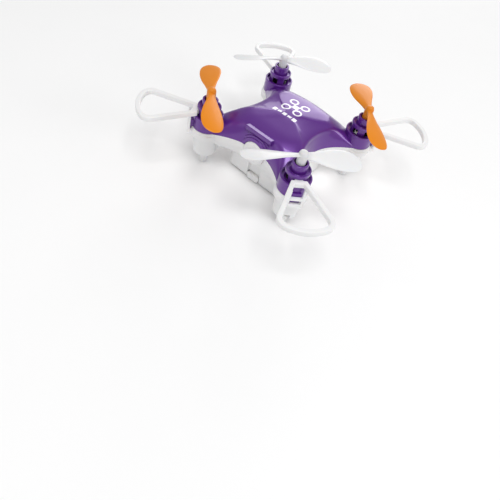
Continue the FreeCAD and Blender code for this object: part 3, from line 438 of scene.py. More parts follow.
@dataclass(frozen=True)
class BrushedFinish(Finish):
    """Drawn or turned metal with fine lines round its axis."""

    squeeze: Place = (0.05, 0.05, 1.0)

    def relief(self, graph: Graph, place: Value) -> Value:
        """Lines that run level: noise with its level directions squeezed."""
        return graph.noise(place * self.squeeze, self.grain, 2.0)


@dataclass(frozen=True)
class WrinkledFinish(Finish):
    """Foil or foam with creases larger than its grain."""

    crease: float = 2.2
    crease_share: float = 0.6

    def relief(self, graph: Graph, place: Value) -> Value:
        """Creases and grain together."""
        folds = graph.node("ShaderNodeTexVoronoi", {"feature": "DISTANCE_TO_EDGE"},
                           {"Vector": place, "Scale": 1 / self.crease})
        grain = graph.noise(place, self.grain, 3.0)
        return folds.below(0.2, 0.4) * self.crease_share + grain * (1 - self.crease_share)


WHITE = dict(colour=(0.88, 0.88, 0.88), shade=(0.84, 0.84, 0.845), roughness=0.36, coat=0.12,
             coat_roughness=0.25, grain=0.16, grain_depth=0.004, scatter=0.06)

FINISHES: tuple[Finish, ...] = (
    ShellFinish("shell_purple", (0.128, 0.022, 0.285), (0.108, 0.018, 0.25), roughness=0.3, metallic=0.3,
                coat=0.6, coat_roughness=0.07, patch=9.0, grain=0.35, grain_depth=0.0016),
    Finish("shell_white", **WHITE),
    Finish("blank_white", (0.84, 0.84, 0.85), (0.8, 0.8, 0.815), roughness=0.28, coat=0.3, grain=0.2,
           grain_depth=0.002, scatter=0.06),
    Finish("guard_white", **WHITE),
    # The propellers' hub colours are painted shade, darker than their blades.
    BladeFinish("propeller_white", (0.84, 0.84, 0.85), (0.8, 0.8, 0.81), roughness=0.3, coat=0.2,
                scatter=0.1, grain=0.3, grain_depth=0.002, hub_painted_shade=(0.72, 0.72, 0.73)),
    BladeFinish("propeller_orange", (0.83, 0.268, 0.006), (0.77, 0.233, 0.004), roughness=0.34, coat=0.1,
                specular=0.3, scatter=0.03, grain=0.3, grain_depth=0.002, hub_painted_shade=(0.76, 0.24, 0.012)),
    BoardFinish("board_green", (0.02, 0.11, 0.04), (0.015, 0.09, 0.03), roughness=0.35, coat=0.4),
    Finish("chip_black", (0.02, 0.02, 0.022), (0.035, 0.035, 0.037), roughness=0.6, patch=0.8, grain=0.08),
    BrushedFinish("bare_steel", (0.62, 0.62, 0.64), (0.52, 0.52, 0.55), roughness=0.3, metallic=1.0,
                  patch=1.5),
    Finish("connector_white", (0.78, 0.77, 0.72), (0.7, 0.69, 0.64), roughness=0.45, patch=1.0),
    Finish("ceramic_tan", (0.42, 0.29, 0.17), (0.34, 0.23, 0.13), roughness=0.45, patch=0.5),
    Finish("lamp_clear", (0.9, 0.86, 0.7), (0.84, 0.78, 0.6), roughness=0.15, coat=0.6, patch=0.5),
    Finish("knob_black", (0.024, 0.024, 0.026), (0.036, 0.036, 0.038), roughness=0.45, patch=1.2),
    WrinkledFinish("battery_foil", (0.66, 0.67, 0.7), (0.56, 0.57, 0.6), roughness=0.28, metallic=0.9,
                   grain_depth=0.03),
    WrinkledFinish("foam_grey", (0.16, 0.16, 0.17), (0.1, 0.1, 0.11), roughness=0.95, crease=0.35,
                   grain_depth=0.05),
    Finish("wire_red", (0.55, 0.02, 0.015), (0.45, 0.015, 0.012), roughness=0.4, patch=1.0),
    Finish("wire_black", (0.02, 0.02, 0.02), (0.03, 0.03, 0.03), roughness=0.42, patch=1.0),
    Finish("wire_blue", (0.02, 0.06, 0.45), (0.015, 0.05, 0.36), roughness=0.4, patch=1.0),
    Finish("wire_grey", (0.3, 0.3, 0.31), (0.24, 0.24, 0.25), roughness=0.45, patch=1.0),
    BrushedFinish("screw_steel", (0.42, 0.42, 0.43), (0.32, 0.32, 0.33), roughness=0.34, metallic=1.0,
                  patch=0.6),
    BrushedFinish("magnet_grey", (0.34, 0.34, 0.35), (0.26, 0.26, 0.27), roughness=0.4, metallic=0.9,
                  patch=1.0),
    BrushedFinish("bush_brass", (0.68, 0.46, 0.16), (0.58, 0.38, 0.12), roughness=0.32, metallic=1.0,
                  patch=0.6),
    WoundFinish("coil_copper", (0.72, 0.27, 0.11), (0.6, 0.2, 0.08), roughness=0.34, metallic=0.9,
                grain_depth=0.05),
)


# ---------------------------------------------------------------- mesh tools

def straight(start: Vector, end: Vector, steps: int) -> Outline:
    """Points of a straight run, its two ends among them."""
    return [start.lerp(end, step / steps) for step in range(steps + 1)]


def bend(start: Vector, corner: Vector, end: Vector, steps: int) -> Outline:
    """Points of a rounding that starts and ends on the two sides of a corner.

    Args:
        start: Where it leaves the first side.
        corner: The sharp corner that it stands in for.
        end: Where it joins the second side.
        steps: Its pieces.

    Returns:
        The points, with both ends.
    """
    shares = [step / steps for step in range(steps + 1)]
    return [start.lerp(corner, share).lerp(corner.lerp(end, share), share) for share in shares]


def stepped(bottom: float, steps: Steps) -> list[tuple[float, float]]:
    """Corners of a turned profile that goes up or down in steps.

    Args:
        bottom: Its lowest height.
        steps: Radius and upper height of each step.

    Returns:
        Radius and height of each corner, from the axis and back to it.
    """
    corners = [(0.0, bottom)]
    level = bottom
    for radius, top in steps:
        corners += [(radius, level), (radius, top)]
        level = top
    return corners + [(0.0, level)]


def softened(points: Sequence[Vector], cut: float, steps: int = 4, closed: bool = False) -> Outline:
    """Round every corner of a run of points.

    Args:
        points: The corners.
        cut: How far from a corner its rounding starts, at most.
        steps: Pieces in each rounding.
        closed: Whether the last point joins the first.

    Returns:
        The rounded run, with the same number of points for any run of as many corners.
    """
    count = len(points)
    rounded: Outline = []
    for index, corner in enumerate(points):
        if not closed and index in (0, count - 1):
            rounded.append(corner.copy())
            continue
        before, after = points[index - 1], points[(index + 1) % count]
        ends = []
        for neighbour in (before, after):
            away = neighbour - corner
            ends.append(corner + away.normalized() * min(cut, 0.45 * away.length))
        rounded += bend(ends[0], corner, ends[1], steps)
    return rounded


def curved(points: Sequence[Vector], start: Vector, steps: int) -> Outline:
    """Smooth curve through points.

    Args:
        points: The points that it passes through.
        start: Phantom point before the first, which sets the direction there.
        steps: Pieces between two points.

    Returns:
        Points along the curve.
    """
    path = [start, *points, points[-1] * 2 - points[-2]]
    curve = [points[0].copy()]
    for before, first, second, after in zip(path, path[1:], path[2:], path[3:]):
        for step in range(1, steps + 1):
            share = step / steps
            bend_in = (second - before) / 2
            bend_out = (after - first) / 2
            square, cube = share * share, share ** 3
            curve.append(first * (2 * cube - 3 * square + 1) + bend_in * (cube - 2 * square + share)
                         + second * (3 * square - 2 * cube) + bend_out * (cube - square))
    return curve


def placed(name: str, data: bpy.types.ID) -> bpy.types.Object:
    """New object in the scene that holds a mesh, a light or a camera."""
    made = bpy.data.objects.new(name, data)
    bpy.context.scene.collection.objects.link(made)
    return made


def mesh_of(name: str, shape: bmesh.types.BMesh) -> bpy.types.Mesh:
    """Mesh from its drawing, which is freed."""
    mesh = bpy.data.meshes.new(name)
    shape.to_mesh(mesh)
    shape.free()
    return mesh


def make_object(name: str, shape: bmesh.types.BMesh) -> bpy.types.Object:
    """Object from a mesh drawn in millimetres.

    Args:
        name: The object's name.
        shape: The mesh, which is freed.

    Returns:
        The object, in metres.
    """
    bmesh.ops.remove_doubles(shape, verts=shape.verts, dist=1e-5)
    bmesh.ops.recalc_face_normals(shape, faces=shape.faces)
    bmesh.ops.scale(shape, vec=(MM,) * 3, verts=shape.verts)
    return placed(name, mesh_of(name, shape))


def skinned(name: str, rings: Sequence[Outline], looped: bool = False) -> bpy.types.Object:
    """Closed surface through rings of as many points each.

    Args:
        name: The object's name.
        rings: Closed rings of points, in order.
        looped: Whether the last ring joins the first. Otherwise flat caps close the ends.

    Returns:
        The object.
    """
    shape = bmesh.new()
    rows = [[shape.verts.new(point) for point in ring] for ring in rings]
    count = len(rows[0])
    pairs = list(zip(rows, rows[1:]))
    if looped:
        pairs.append((rows[-1], rows[0]))
    for lower, upper in pairs:
        for index in range(count):
            follower = (index + 1) % count
            shape.faces.new((lower[index], lower[follower], upper[follower], upper[index]))
    if not looped:
        shape.faces.new(rows[0][::-1])
        shape.faces.new(rows[-1])
    return make_object(name, shape)


def turned(name: str, profile: Sequence[tuple[float, float]], cut: float = 0.12, segments: int = 96,
           steps: int = 3) -> bpy.types.Object:
    """Solid of revolution about Z with rounded edges.

    Args:
        name: The object's name.
        profile: Radius and height of each corner, from the axis and back to it.
        cut: How far each rounding starts from its corner.
        segments: Steps round the axis.
        steps: Pieces in each rounding.

    Returns:
        The object.
    """
    corners = [Vector((radius, 0.0, height)) for radius, height in profile]
    run = softened(corners, cut, steps)
    shape = bmesh.new()
    verts = [shape.verts.new(point) for point in run]
    for first, second in zip(verts, verts[1:]):
        shape.edges.new((first, second))
    bmesh.ops.spin(shape, geom=shape.verts[:] + shape.edges[:], cent=(0, 0, 0), axis=(0, 0, 1),
                   angle=2 * math.pi, steps=segments, use_merge=True)
    bmesh.ops.remove_doubles(shape, verts=shape.verts, dist=1e-4)
    return make_object(name, shape)


def raised(name: str, outline: Outline, bottom: float, top: float, cut: float = 0.15) -> bpy.types.Object:
    """Upright solid with an outline and rounded top and bottom edges.

    Args:
        name: The object's name.
        outline: Closed outline, counter-clockwise from above.
        bottom: Lowest height.
        top: Highest height.
        cut: Radius of the edges.

    Returns:
        The object.
    """
    rings = [[Vector((point.x, point.y, height)) for point in moved_in(outline, inset)]
             for inset, height in edge_levels(bottom, top, cut)]
    return skinned(name, rings)


def edge_levels(bottom: float, top: float, cut: float, steps: int = 3) -> list[tuple[float, float]]:
    """Inset and height of each level of a wall with rounded edges.

    Args:
        bottom: Lowest height.
        top: Highest height.
        cut: Radius of the edges.
        steps: Pieces in each rounding.

    Returns:
        The levels from the bottom up.
    """
    turns = [math.radians(90 * step / steps) for step in range(steps + 1)]
    lower = [(cut * (1 - math.sin(turn)), bottom + cut * (1 - math.cos(turn))) for turn in turns]
    upper = [(inset, bottom + top - height) for inset, height in reversed(lower)]
    return lower + upper


def moved_in(outline: Outline, inset: float) -> Outline:
    """Outline moved inward.

    Args:
        outline: Closed outline, counter-clockwise from above.
        inset: How far.

    Returns:
        The moved outline, its heights unchanged.
    """
    count = len(outline)
    moved = []
    for index, point in enumerate(outline):
        along = outline[(index + 1) % count] - outline[index - 1]
        inward = Vector((-along.y, along.x, 0.0)).normalized()
        moved.append(point + inward * inset)
    return moved


def rectangle(half_x: float, half_y: float, corner: float, centre: tuple[float, float] = (0.0, 0.0),
              steps: int = 4) -> Outline:
    """Rectangle with rounded corners.

    Args:
        half_x: Half its length along X.
        half_y: Half its length along Y.
        corner: Where its corners' rounding starts.
        centre: Its middle.
        steps: Pieces in each rounding.

    Returns:
        The outline, counter-clockwise from above.
    """
    corners = [Vector((centre[0] + x * half_x, centre[1] + y * half_y, 0.0))
               for x, y in ((1, -1), (1, 1), (-1, 1), (-1, -1))]
    return softened(corners, corner, steps, closed=True)


@dataclass(frozen=True)
class Slab:
    """Block in millimetres: its lowest and highest corners, and how far its upright and its level
    edges are rounded."""

    name: str
    low: Sequence[float]
    high: Sequence[float]
    corner: float = 0.15
    cut: float = 0.08

    def solid(self) -> bpy.types.Object:
        """Build the block, its roundings kept small enough for its sides."""
        long, wide, tall = (end - start for start, end in zip(self.low, self.high))
        corner = min(max(self.corner, 1.8 * self.cut), 0.45 * min(long, wide))
        cut = min(self.cut, 0.5 * corner, 0.45 * tall)
        centre = ((self.low[0] + self.high[0]) / 2, (self.low[1] + self.high[1]) / 2)
        return raised(self.name, rectangle(long / 2, wide / 2, corner, centre, 3), self.low[2],
                      self.high[2], cut)


def moved(thing: bpy.types.Object, matrix: Matrix) -> bpy.types.Object:
    """Move a thing's mesh, in metres, and return it."""
    thing.data.transform(matrix)
    return thing


def nose_seat(back: float) -> bpy.types.Object:
    """Round space for the nose blank, from its back to well ahead of the nose."""
    return moved(turned("seat", stepped(back, ((3.6, 15.2),)), 0.01), NOSE_TURN)


def at_pod(thing: bpy.types.Object, pod: str) -> bpy.types.Object:
    """Put a piece drawn about the Z axis on a pod, its +X pointing outward."""
    x_sign, y_sign = PODS[pod]
    outward = math.atan2(y_sign, x_sign)
    place = Matrix.Translation((x_sign * POD_HALF * MM, y_sign * POD_HALF * MM, 0))
    return moved(thing, place @ Matrix.Rotation(outward, 4, "Z"))


def merged(name: str, things: Sequence[bpy.types.Object]) -> bpy.types.Object:
    """One object of several that don't touch.

    Args:
        name: The new object's name.
        things: The objects, which are used up.

    Returns:
        The object.
    """
    shape = bmesh.new()
    for thing in things:
        shape.from_mesh(thing.data)
        bpy.data.objects.remove(thing)
    return placed(name, mesh_of(name, shape))


def four_pods(name: str, maker: Callable[[str], bpy.types.Object]) -> bpy.types.Object:
    """One object of a piece made once and put on all four pods."""
    pattern = maker(name + "_pattern")
    copies = [at_pod(placed(name + "_" + pod, pattern.data.copy()), pod) for pod in PODS]
    bpy.data.objects.remove(pattern)
    return merged(name, copies)


def four_corners(place: tuple[float, float], maker: Callable[[], bpy.types.Object]) -> bpy.types.Object:
    """One object of a piece made four times, at plus and minus a place's x and y."""
    x, y = place[0] * MM, place[1] * MM
    return merged("corners", [moved(maker(), Matrix.Translation((x_sign * x, y_sign * y, 0)))
                           for x_sign, y_sign in PODS.values()])


class Joining(Enum):
    """How a boolean takes its second solid."""

    ADD = "UNION"
    TAKE = "DIFFERENCE"
    COMMON = "INTERSECT"


def joined(base: bpy.types.Object, how: Joining, *tools: bpy.types.Object) -> bpy.types.Object:
    """Apply booleans to a solid, one after another.

    Args:
        base: The solid that changes.
        how: Whether the others are added, taken away or kept in common.
        tools: The other solids, which are used up.

    Returns:
        The base.
    """
    for tool in tools:
        change = base.modifiers.new("join", "BOOLEAN")
        change.operation = how.value
        change.solver = "EXACT"
        change.object = tool
        seen = bpy.context.evaluated_depsgraph_get()
        result = bpy.data.meshes.new_from_object(base.evaluated_get(seen))
        base.modifiers.clear()
        base.data = result
        bpy.data.objects.remove(tool)
        if not result.polygons:
            raise RuntimeError(base.name + ": nothing is left after a boolean")
    return base


def finished(thing: bpy.types.Object, name: str, crease: float = 35.0) -> bpy.types.Object:
    """Clean a solid, smooth its shading between its creases and give it its name.

    Args:
        thing: The solid.
        name: Its final name.
        crease: Angle in degrees above which an edge stays sharp.

    Returns:
        The solid.
    """
    shape = bmesh.new()
    shape.from_mesh(thing.data)
    bmesh.ops.remove_doubles(shape, verts=shape.verts, dist=2e-6)
    bmesh.ops.dissolve_degenerate(shape, edges=shape.edges, dist=1e-6)
    shape.to_mesh(thing.data)
    shape.free()
    thing.data.shade_smooth()
    thing.data.set_sharp_from_angle(angle=math.radians(crease))
    even = thing.modifiers.new("even", "WEIGHTED_NORMAL")
    even.keep_sharp = True
    even.weight = 60
    thing.name = name
    thing.data.name = name
    return thing


class Wardrobe:
    """Materials by slot, made once."""

    def __init__(self, finishes: Iterable[Finish]) -> None:
        """Build a material for each finish."""
        self.materials = {finish.slot: finish.material() for finish in finishes}

    def dress(self, piece: bpy.types.Object, body: str, slot: str, *nodes: str) -> bpy.types.Object:
        """Give a piece its material, its body and the CAD nodes that it stands for.

        Args:
            piece: The piece.
            body: The CAD body that it rides on.
            slot: Its material slot.
            nodes: The CAD nodes that it replaces.

        Returns:
            The piece.
        """
        piece.data.materials.clear()
        piece.data.materials.append(self.materials[slot])
        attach(piece, body)
        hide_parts(*nodes)
        LOG.info("%s: %d faces, on %s", piece.name, len(piece.data.polygons), body)
        return piece

    def dress_nodes(self, record: dict) -> None:
        """Give every CAD node its slot's material.

        Args:
            record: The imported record.
        """
        for entry in record["subparts"]:
            for holder in frame["nodes"][entry["node"]].material_slots:
                holder.material = self.materials[entry["material_slot"]]


# ---------------------------------------------------------------- shell outlines

@dataclass(frozen=True)
class Section:
    """Level of a shell: its height, its waists, and the reach and half width of its arms."""

    height: float
    waist_x: float
    waist_y: float
    reach: float
    half_width: float
    round_corner: float = 0.8
    side_steps: int = 28
    corner_steps: int = 5

    def outline(self) -> Outline:
        """Closed outline with four arms and hollow sides, counter-clockwise from above."""
        run: Outline = []
        for quarter in range(4):
            turn = Matrix.Rotation(math.radians(90 * quarter), 3, "Z")
            waist = self.waist_x if quarter % 2 == 0 else self.waist_y
            run += [turn @ point for point in self.quarter(waist)]
        return [Vector((point.x, point.y, self.height)) for point in run]

    def quarter(self, waist: float) -> Outline:
        """Arm end at -45 degrees and the hollow side about the X axis.

        Args:
            waist: Where that side crosses the X axis.

        Returns:
            Its points.
        """
        slant = math.sqrt(0.5)
        inner = (self.reach - self.half_width) * slant
        outer = (self.reach + self.half_width) * slant
        low, high, across = (Vector(spot) for spot in ((inner, -outer, 0), (outer, -inner, 0),
                                                       (outer, inner, 0)))
        cut = min(self.round_corner, 0.9 * self.half_width)
        trim = cut / (2 * inner)

        def side(share: float) -> Vector:
            """Point of the hollow side, share from -1 to 1."""
            return Vector((waist + (outer - waist) * share * share, inner * share, 0))

        first, last = -1 + 2 * trim, 1 - 2 * trim
        points = bend(high - (high - low).normalized() * cut, high, side(first), self.corner_steps)
        points += [side(first + (last - first) * step / self.side_steps)
                   for step in range(1, self.side_steps)]
        return points + bend(side(last), across, across + Vector((-slant, slant, 0)) * cut,
                             self.corner_steps)


@dataclass(frozen=True)
class Plate:
    """Level of a shell that is a rectangle, with as many points as a Section."""

    height: float
    half_x: float
    half_y: float
    corner: float
    side_steps: int = 28
    corner_steps: int = 5

    def outline(self) -> Outline:
        """Closed outline, counter-clockwise from above, in step with a Section's."""
        run: Outline = []
        for quarter in range(4):
            turn = Matrix.Rotation(math.radians(90 * quarter), 3, "Z")
            far, wide = (self.half_x, self.half_y) if quarter % 2 == 0 else (self.half_y, self.half_x)
            flat, nick = wide - self.corner, self.corner / 4
            stops = [Vector((far - nick, nick - wide, 0)), Vector((far, -flat, 0)), Vector((far, flat, 0)),
                     Vector((far - nick, wide - nick, 0))]
            points = straight(stops[0], stops[1], self.corner_steps)
            points += straight(stops[1], stops[2], self.side_steps)[1:-1]
            points += straight(stops[2], stops[3], self.corner_steps)
            run += [turn @ point for point in points]
        return [Vector((point.x, point.y, self.height)) for point in run]


# ---------------------------------------------------------------- top shell

@dataclass
class TopShell:
    """Glossy upper shell: dome, visor, stepped arch, bumper and four windowed motor sleeves."""

    wardrobe: Wardrobe
    roof: float = 19.5
    crown: float = 0.25
    waist_x: float = 10.8
    waist_y: float = 12.5
    arm_reach: float = 21.9
    arm_half_width: float = 3.9
    arm_rounding: float = 1.6
    rib_steps: int = 6
    levels: tuple[tuple[float, ...], ...] = (
        (1.00, 0.30, 0.40, 0.32, 0.50), (0.955, 0.56, 0.72, 0.50, 0.52), (0.84, 0.86, 0.93, 0.605, 0.50),
        (0.60, 0.91, 0.965, 0.735, 0.64), (0.33, 0.95, 0.985, 0.84, 0.84), (0.00, 1.00, 1.00, 1.00, 1.00))
    inner_levels: tuple[tuple[float, ...], ...] = (
        (0.84, 0.52, 0.70, 0.44, 0.34), (0.72, 0.70, 0.84, 0.55, 0.40), (0.32, 0.83, 0.90, 0.75, 0.60),
        (0.00, 0.91, 0.92, 0.875, 0.66))
    inner_crown: float = 0.1
    sleeve_steps: Steps = ((4.2, 16.8), (3.7, 16.1), (3.0, 18.4), (3.25, 19.4), (2.85, 18.9), (2.15, 21.4))
    bore_steps: Steps = ((3.3, 15.75), (1.2, 16.15), (2.4, 18.3), (1.65, 22.4))
    tongue: Slab = Slab("tongue", (3.8, -1.3, SEAM), (4.7, 1.3, 15.0), 0.1, 0.08)
    tongue_tip: Slab = Slab("tongue_tip", (4.42, -1.3, 12.1), (4.7, 1.3, SEAM + 0.5), 0.08, 0.06)
    guard_slot: Slab = Slab("guard_slot", (1.8, -1.1, 16.8), (3.7, 1.1, 18.4), 0.05, 0.05)
    window: Slab = Slab("window", (1.9, -0.85, 16.4), (3.4, 0.85, 18.15), 0.12, 0.12)
    window_angles: tuple[int, ...] = (72, 144, 216, 288)
    visor_corners: Steps = ((-13.0, 17.9), (-13.0, 18.95), (-10.8, 18.4), (-10.8, 16.0), (-12.5, 16.9))
    visor_centre: tuple[float, float] = (-12.0, 17.7)
    visor_stations: Steps = ((-4.5, 0.25), (-4.42, 0.08), (-4.25, 0.0), (4.25, 0.0), (4.42, 0.08),
                             (4.5, 0.25))
    arch_back: float = 10.6
    arch_steps: Steps = ((5.9, 12.5), (5.25, 12.85), (4.6, 13.2))
    arch_keep: Slab = Slab("arch_keep", (-7, -15, SEAM), (7, -9, 20), 0.01, 0.01)
    bumper_half_x: float = 4.8
    bumper_back: float = 11.0
    bumper_bulge: float = 2.1
    bumper_top: float = 15.2
    seat_back: float = 8.6

    def dome(self, name: str, levels: Sequence[Sequence[float]], crown: float,
             below: float = 0.0) -> bpy.types.Object:
        """Domed solid through X-shaped levels, its roof slightly crowned.

        Args:
            name: The object's name.
            levels: Rise, waist, reach and width shares of each level from the roof down.
            crown: How far its middle stands above its top level.
            below: How far it goes on under the seam.

        Returns:
            The solid.
        """
        outlines = []
        for rise, x_share, y_share, reach_share, width_share in levels:
            section = Section(SEAM + (self.roof - SEAM) * rise, self.waist_x * x_share,
                              self.waist_y * y_share, self.arm_reach * reach_share,
                              self.arm_half_width * width_share, self.arm_rounding)
            outlines.append(section.outline())
        top = Vector((0, 0, outlines[0][0].z + crown))
        ribs = []
        for points in zip(*outlines):
            start = Vector((-points[0].x, -points[0].y, points[0].z))
            ribs.append(curved([top, *points], start, self.rib_steps))
        rings = [list(ring) for ring in zip(*ribs)][2:]
        if below:
            rings.append([point - Vector((0, 0, below)) for point in rings[-1]])
        return skinned(name, rings[::-1])

    def sleeve(self, name: str) -> bpy.types.Object:
        """Motor sleeve, turret, flange and collar of one pod, unbored, with its outer tongue."""
        body = turned(name, stepped(SEAM, self.sleeve_steps), cut=0.16, steps=4)
        return joined(body, Joining.ADD, self.tongue.solid(), self.tongue_tip.solid())

    def bore(self, name: str) -> bpy.types.Object:
        """Hollow of one pod with its guard slot and windows, to be taken out."""
        body = turned(name, stepped(SEAM - 1, self.bore_steps), cut=0.1, segments=72)
        windows = [moved(self.window.solid(), Matrix.Rotation(math.radians(angle), 4, "Z"))
                   for angle in self.window_angles]
        return joined(body, Joining.ADD, self.guard_slot.solid(), merged("windows", windows))

    def visor(self) -> bpy.types.Object:
        """Brow bar over the nose with a sloped underside."""
        profile = softened([Vector((0, *corner)) for corner in self.visor_corners], 0.2, 4, closed=True)
        centre = Vector((0, *self.visor_centre))
        rings = []
        for x, inset in self.visor_stations:
            ring = []
            for point in profile:
                away = point - centre
                ring.append(centre + away * (1 - inset / away.length) + Vector((x, 0, 0)))
            rings.append(ring)
        return skinned("visor", rings)

    def arch(self) -> bpy.types.Object:
        """Stepped half rings round the nose blank, cut level with the seam."""
        rings = moved(turned("arch", stepped(self.arch_back, self.arch_steps), cut=0.12), NOSE_TURN)
        return joined(rings, Joining.COMMON, self.arch_keep.solid())

    def bumper(self) -> bpy.types.Object:
        """Lens-shaped swelling in the middle of the rear wall."""
        corners = [Vector((self.bumper_half_x * share,
                           self.bumper_back + self.bumper_bulge * (1 - share * share), 0))
                   for share in [1 - step / 8 for step in range(17)]]
        return raised("bumper", corners, SEAM, self.bumper_top, 0.25)

    def build(self) -> bpy.types.Object:
        """Build and dress the shell."""
        shell = self.dome("dome", self.levels, self.crown)
        joined(shell, Joining.ADD, self.visor(), self.arch(), self.bumper(),
               four_pods("sleeves", self.sleeve))
        joined(shell, Joining.TAKE, self.dome("hollow", self.inner_levels, self.inner_crown, 1.0),
               four_pods("bores", self.bore), nose_seat(self.seat_back))
        return self.wardrobe.dress(finished(shell, "upper_shell"), "root", "shell_purple", "top_shell")


# ---------------------------------------------------------------- bottom shell

@dataclass
class BottomShell:
    """White lower shell: battery box, shoulders, arms, motor cups and guard brackets."""

    wardrobe: Wardrobe
    outside: tuple[Union[Plate, Section], ...] = (
        Plate(0.4, 9.4, 10.3, 0.8), Plate(5.7, 9.5, 10.8, 0.8), Section(8.2, 9.9, 11.5, 18.7, 2.9),
        Section(10.6, 10.6, 12.3, 21.9, 3.6), Section(SEAM, 10.8, 12.5, 21.9, 3.9))
    foot_edge: Steps = ((0.25, 0.0), (0.1, 0.07), (0.0, 0.25))
    inside: tuple[Section, ...] = (
        Section(8.9, 8.8, 10.5, 16.7, 1.6), Section(10.8, 9.7, 11.4, 19.2, 2.4),
        Section(13.3, 9.9, 11.5, 19.2, 2.7))
    cup_profile: Steps = ((0, 4.2), (3.35, 4.2), (3.55, 10.1), (4.6, 10.35), (4.6, 11.9), (4.35, 12.05),
                          (4.35, SEAM), (0, SEAM))
    cup_walls: tuple[Slab, ...] = (
        Slab("slot_cover", (-3.95, -1.0, 4.9), (-3.2, 1.0, 10.6), 0.2, 0.15),
        Slab("link", (3.2, -2.2, 11.0), (5.45, 2.2, 11.9), 0.1, 0.08),
        Slab("ladder", (4.78, -2.2, 11.0), (5.45, 2.2, 16.7), 0.12, 0.1))
    cup_bottom: float = 2.2
    cup_bore: Steps = ((3.02, 13.8),)
    cup_slots: tuple[Slab, ...] = (
        Slab("wire_slot", (-3.62, -0.75, 4.6), (-2.72, 0.75, 13.7), 0.1, 0.1),
        Slab("outer_notch", (2.4, -0.75, 3.2), (4.55, 0.75, 5.6), 0.1, 0.1),
        Slab("inner_notch", (-4.55, -0.75, 3.2), (-2.4, 0.75, 4.85), 0.1, 0.1))
    ladder_windows: tuple[Slab, ...] = (
        Slab("low_window", (4.48, -1.5, 12.0), (6.45, 1.5, 13.3), 0.1, 0.1),
        Slab("high_window", (4.48, -1.5, 14.1), (6.45, 1.5, 17.7), 0.1, 0.1))
    openings: tuple[Slab, ...] = (
        Slab("bay", (-8.2, -9.6, 1.4), (8.2, 9.6, 8.0), 0.4, 0.3),
        Slab("rail_space", (-8.7, -9.6, 0.85), (8.7, 11.8, 1.5), 0.05, 0.03),
        Slab("cover_opening", (-8.0, -9.6, -0.6), (8.0, 11.8, 1.5), 0.05, 0.03),
        Slab("latch_recess", (-2.3, -12.0, -0.6), (2.3, -9.9, 7.0), 0.15, 0.4),
        Slab("latch_notch", (-2.3, -12.0, -0.6), (2.3, -9.1, 2.7), 0.1, 0.05),
        Slab("deck_slot", (-6.6, 8.2, 7.5), (-1.2, 9.5, 9.4), 0.3, 0.05),
        Slab("switch_slot", (-3.0, 10.35, 10.75), (2.1, 13.5, 11.95), 0.1, 0.1))
    post_place: tuple[float, float] = (6.0, 6.6)
    post_bottom: float = 8.7
    post_steps: Steps = ((0.9, 9.6),)
    hole_bottom: float = 5.0
    hole_steps: Steps = ((1.2, 10.1), (0.68, 14.0))
    seat_back: float = 11.8

    def hull(self) -> bpy.types.Object:
        """Outside without the pods, soft at its edges."""
        ribs = [softened(points, 0.4, 3) for points in zip(*(level.outline() for level in self.outside))]
        rings = [list(ring) for ring in zip(*ribs)]
        edge = [[point + Vector((0, 0, rise)) for point in moved_in(rings[0], inset)]
                for inset, rise in self.foot_edge]
        return skinned("hull", edge + rings[1:])

    def cup(self, name: str) -> bpy.types.Object:
        """Ring, motor cup and guard bracket of one pod, unbored."""
        body = turned(name, self.cup_profile, cut=0.12)
        return joined(body, Joining.ADD, *(wall.solid() for wall in self.cup_walls))

    def cup_spaces(self, name: str) -> bpy.types.Object:
        """Bore, wire slot, notches and bracket windows of one pod, to be taken out."""
        body = turned(name, stepped(self.cup_bottom, self.cup_bore), 0.02)
        joined(body, Joining.ADD, *(slot.solid() for slot in self.cup_slots))
        return merged(name, [body, *(window.solid() for window in self.ladder_windows)])

    def build(self) -> bpy.types.Object:
        """Build and dress the shell."""
        shell = joined(self.hull(), Joining.ADD, four_pods("cups", self.cup))
        joined(shell, Joining.TAKE, skinned("space", [level.outline() for level in self.inside]),
               four_pods("cup_spaces", self.cup_spaces), *(opening.solid() for opening in self.openings))
        posts = four_corners(self.post_place, lambda: turned(
            "post", stepped(self.post_bottom, self.post_steps), 0.08, 32))
        holes = four_corners(SCREW_PLACE, lambda: turned(
            "hole", stepped(self.hole_bottom, self.hole_steps), 0.03, 40))
        joined(shell, Joining.ADD, posts)
        joined(shell, Joining.TAKE, holes, nose_seat(self.seat_back))
        return self.wardrobe.dress(finished(shell, "lower_shell"), "root", "shell_white", "bottom_shell")


# ---------------------------------------------------------------- small parts

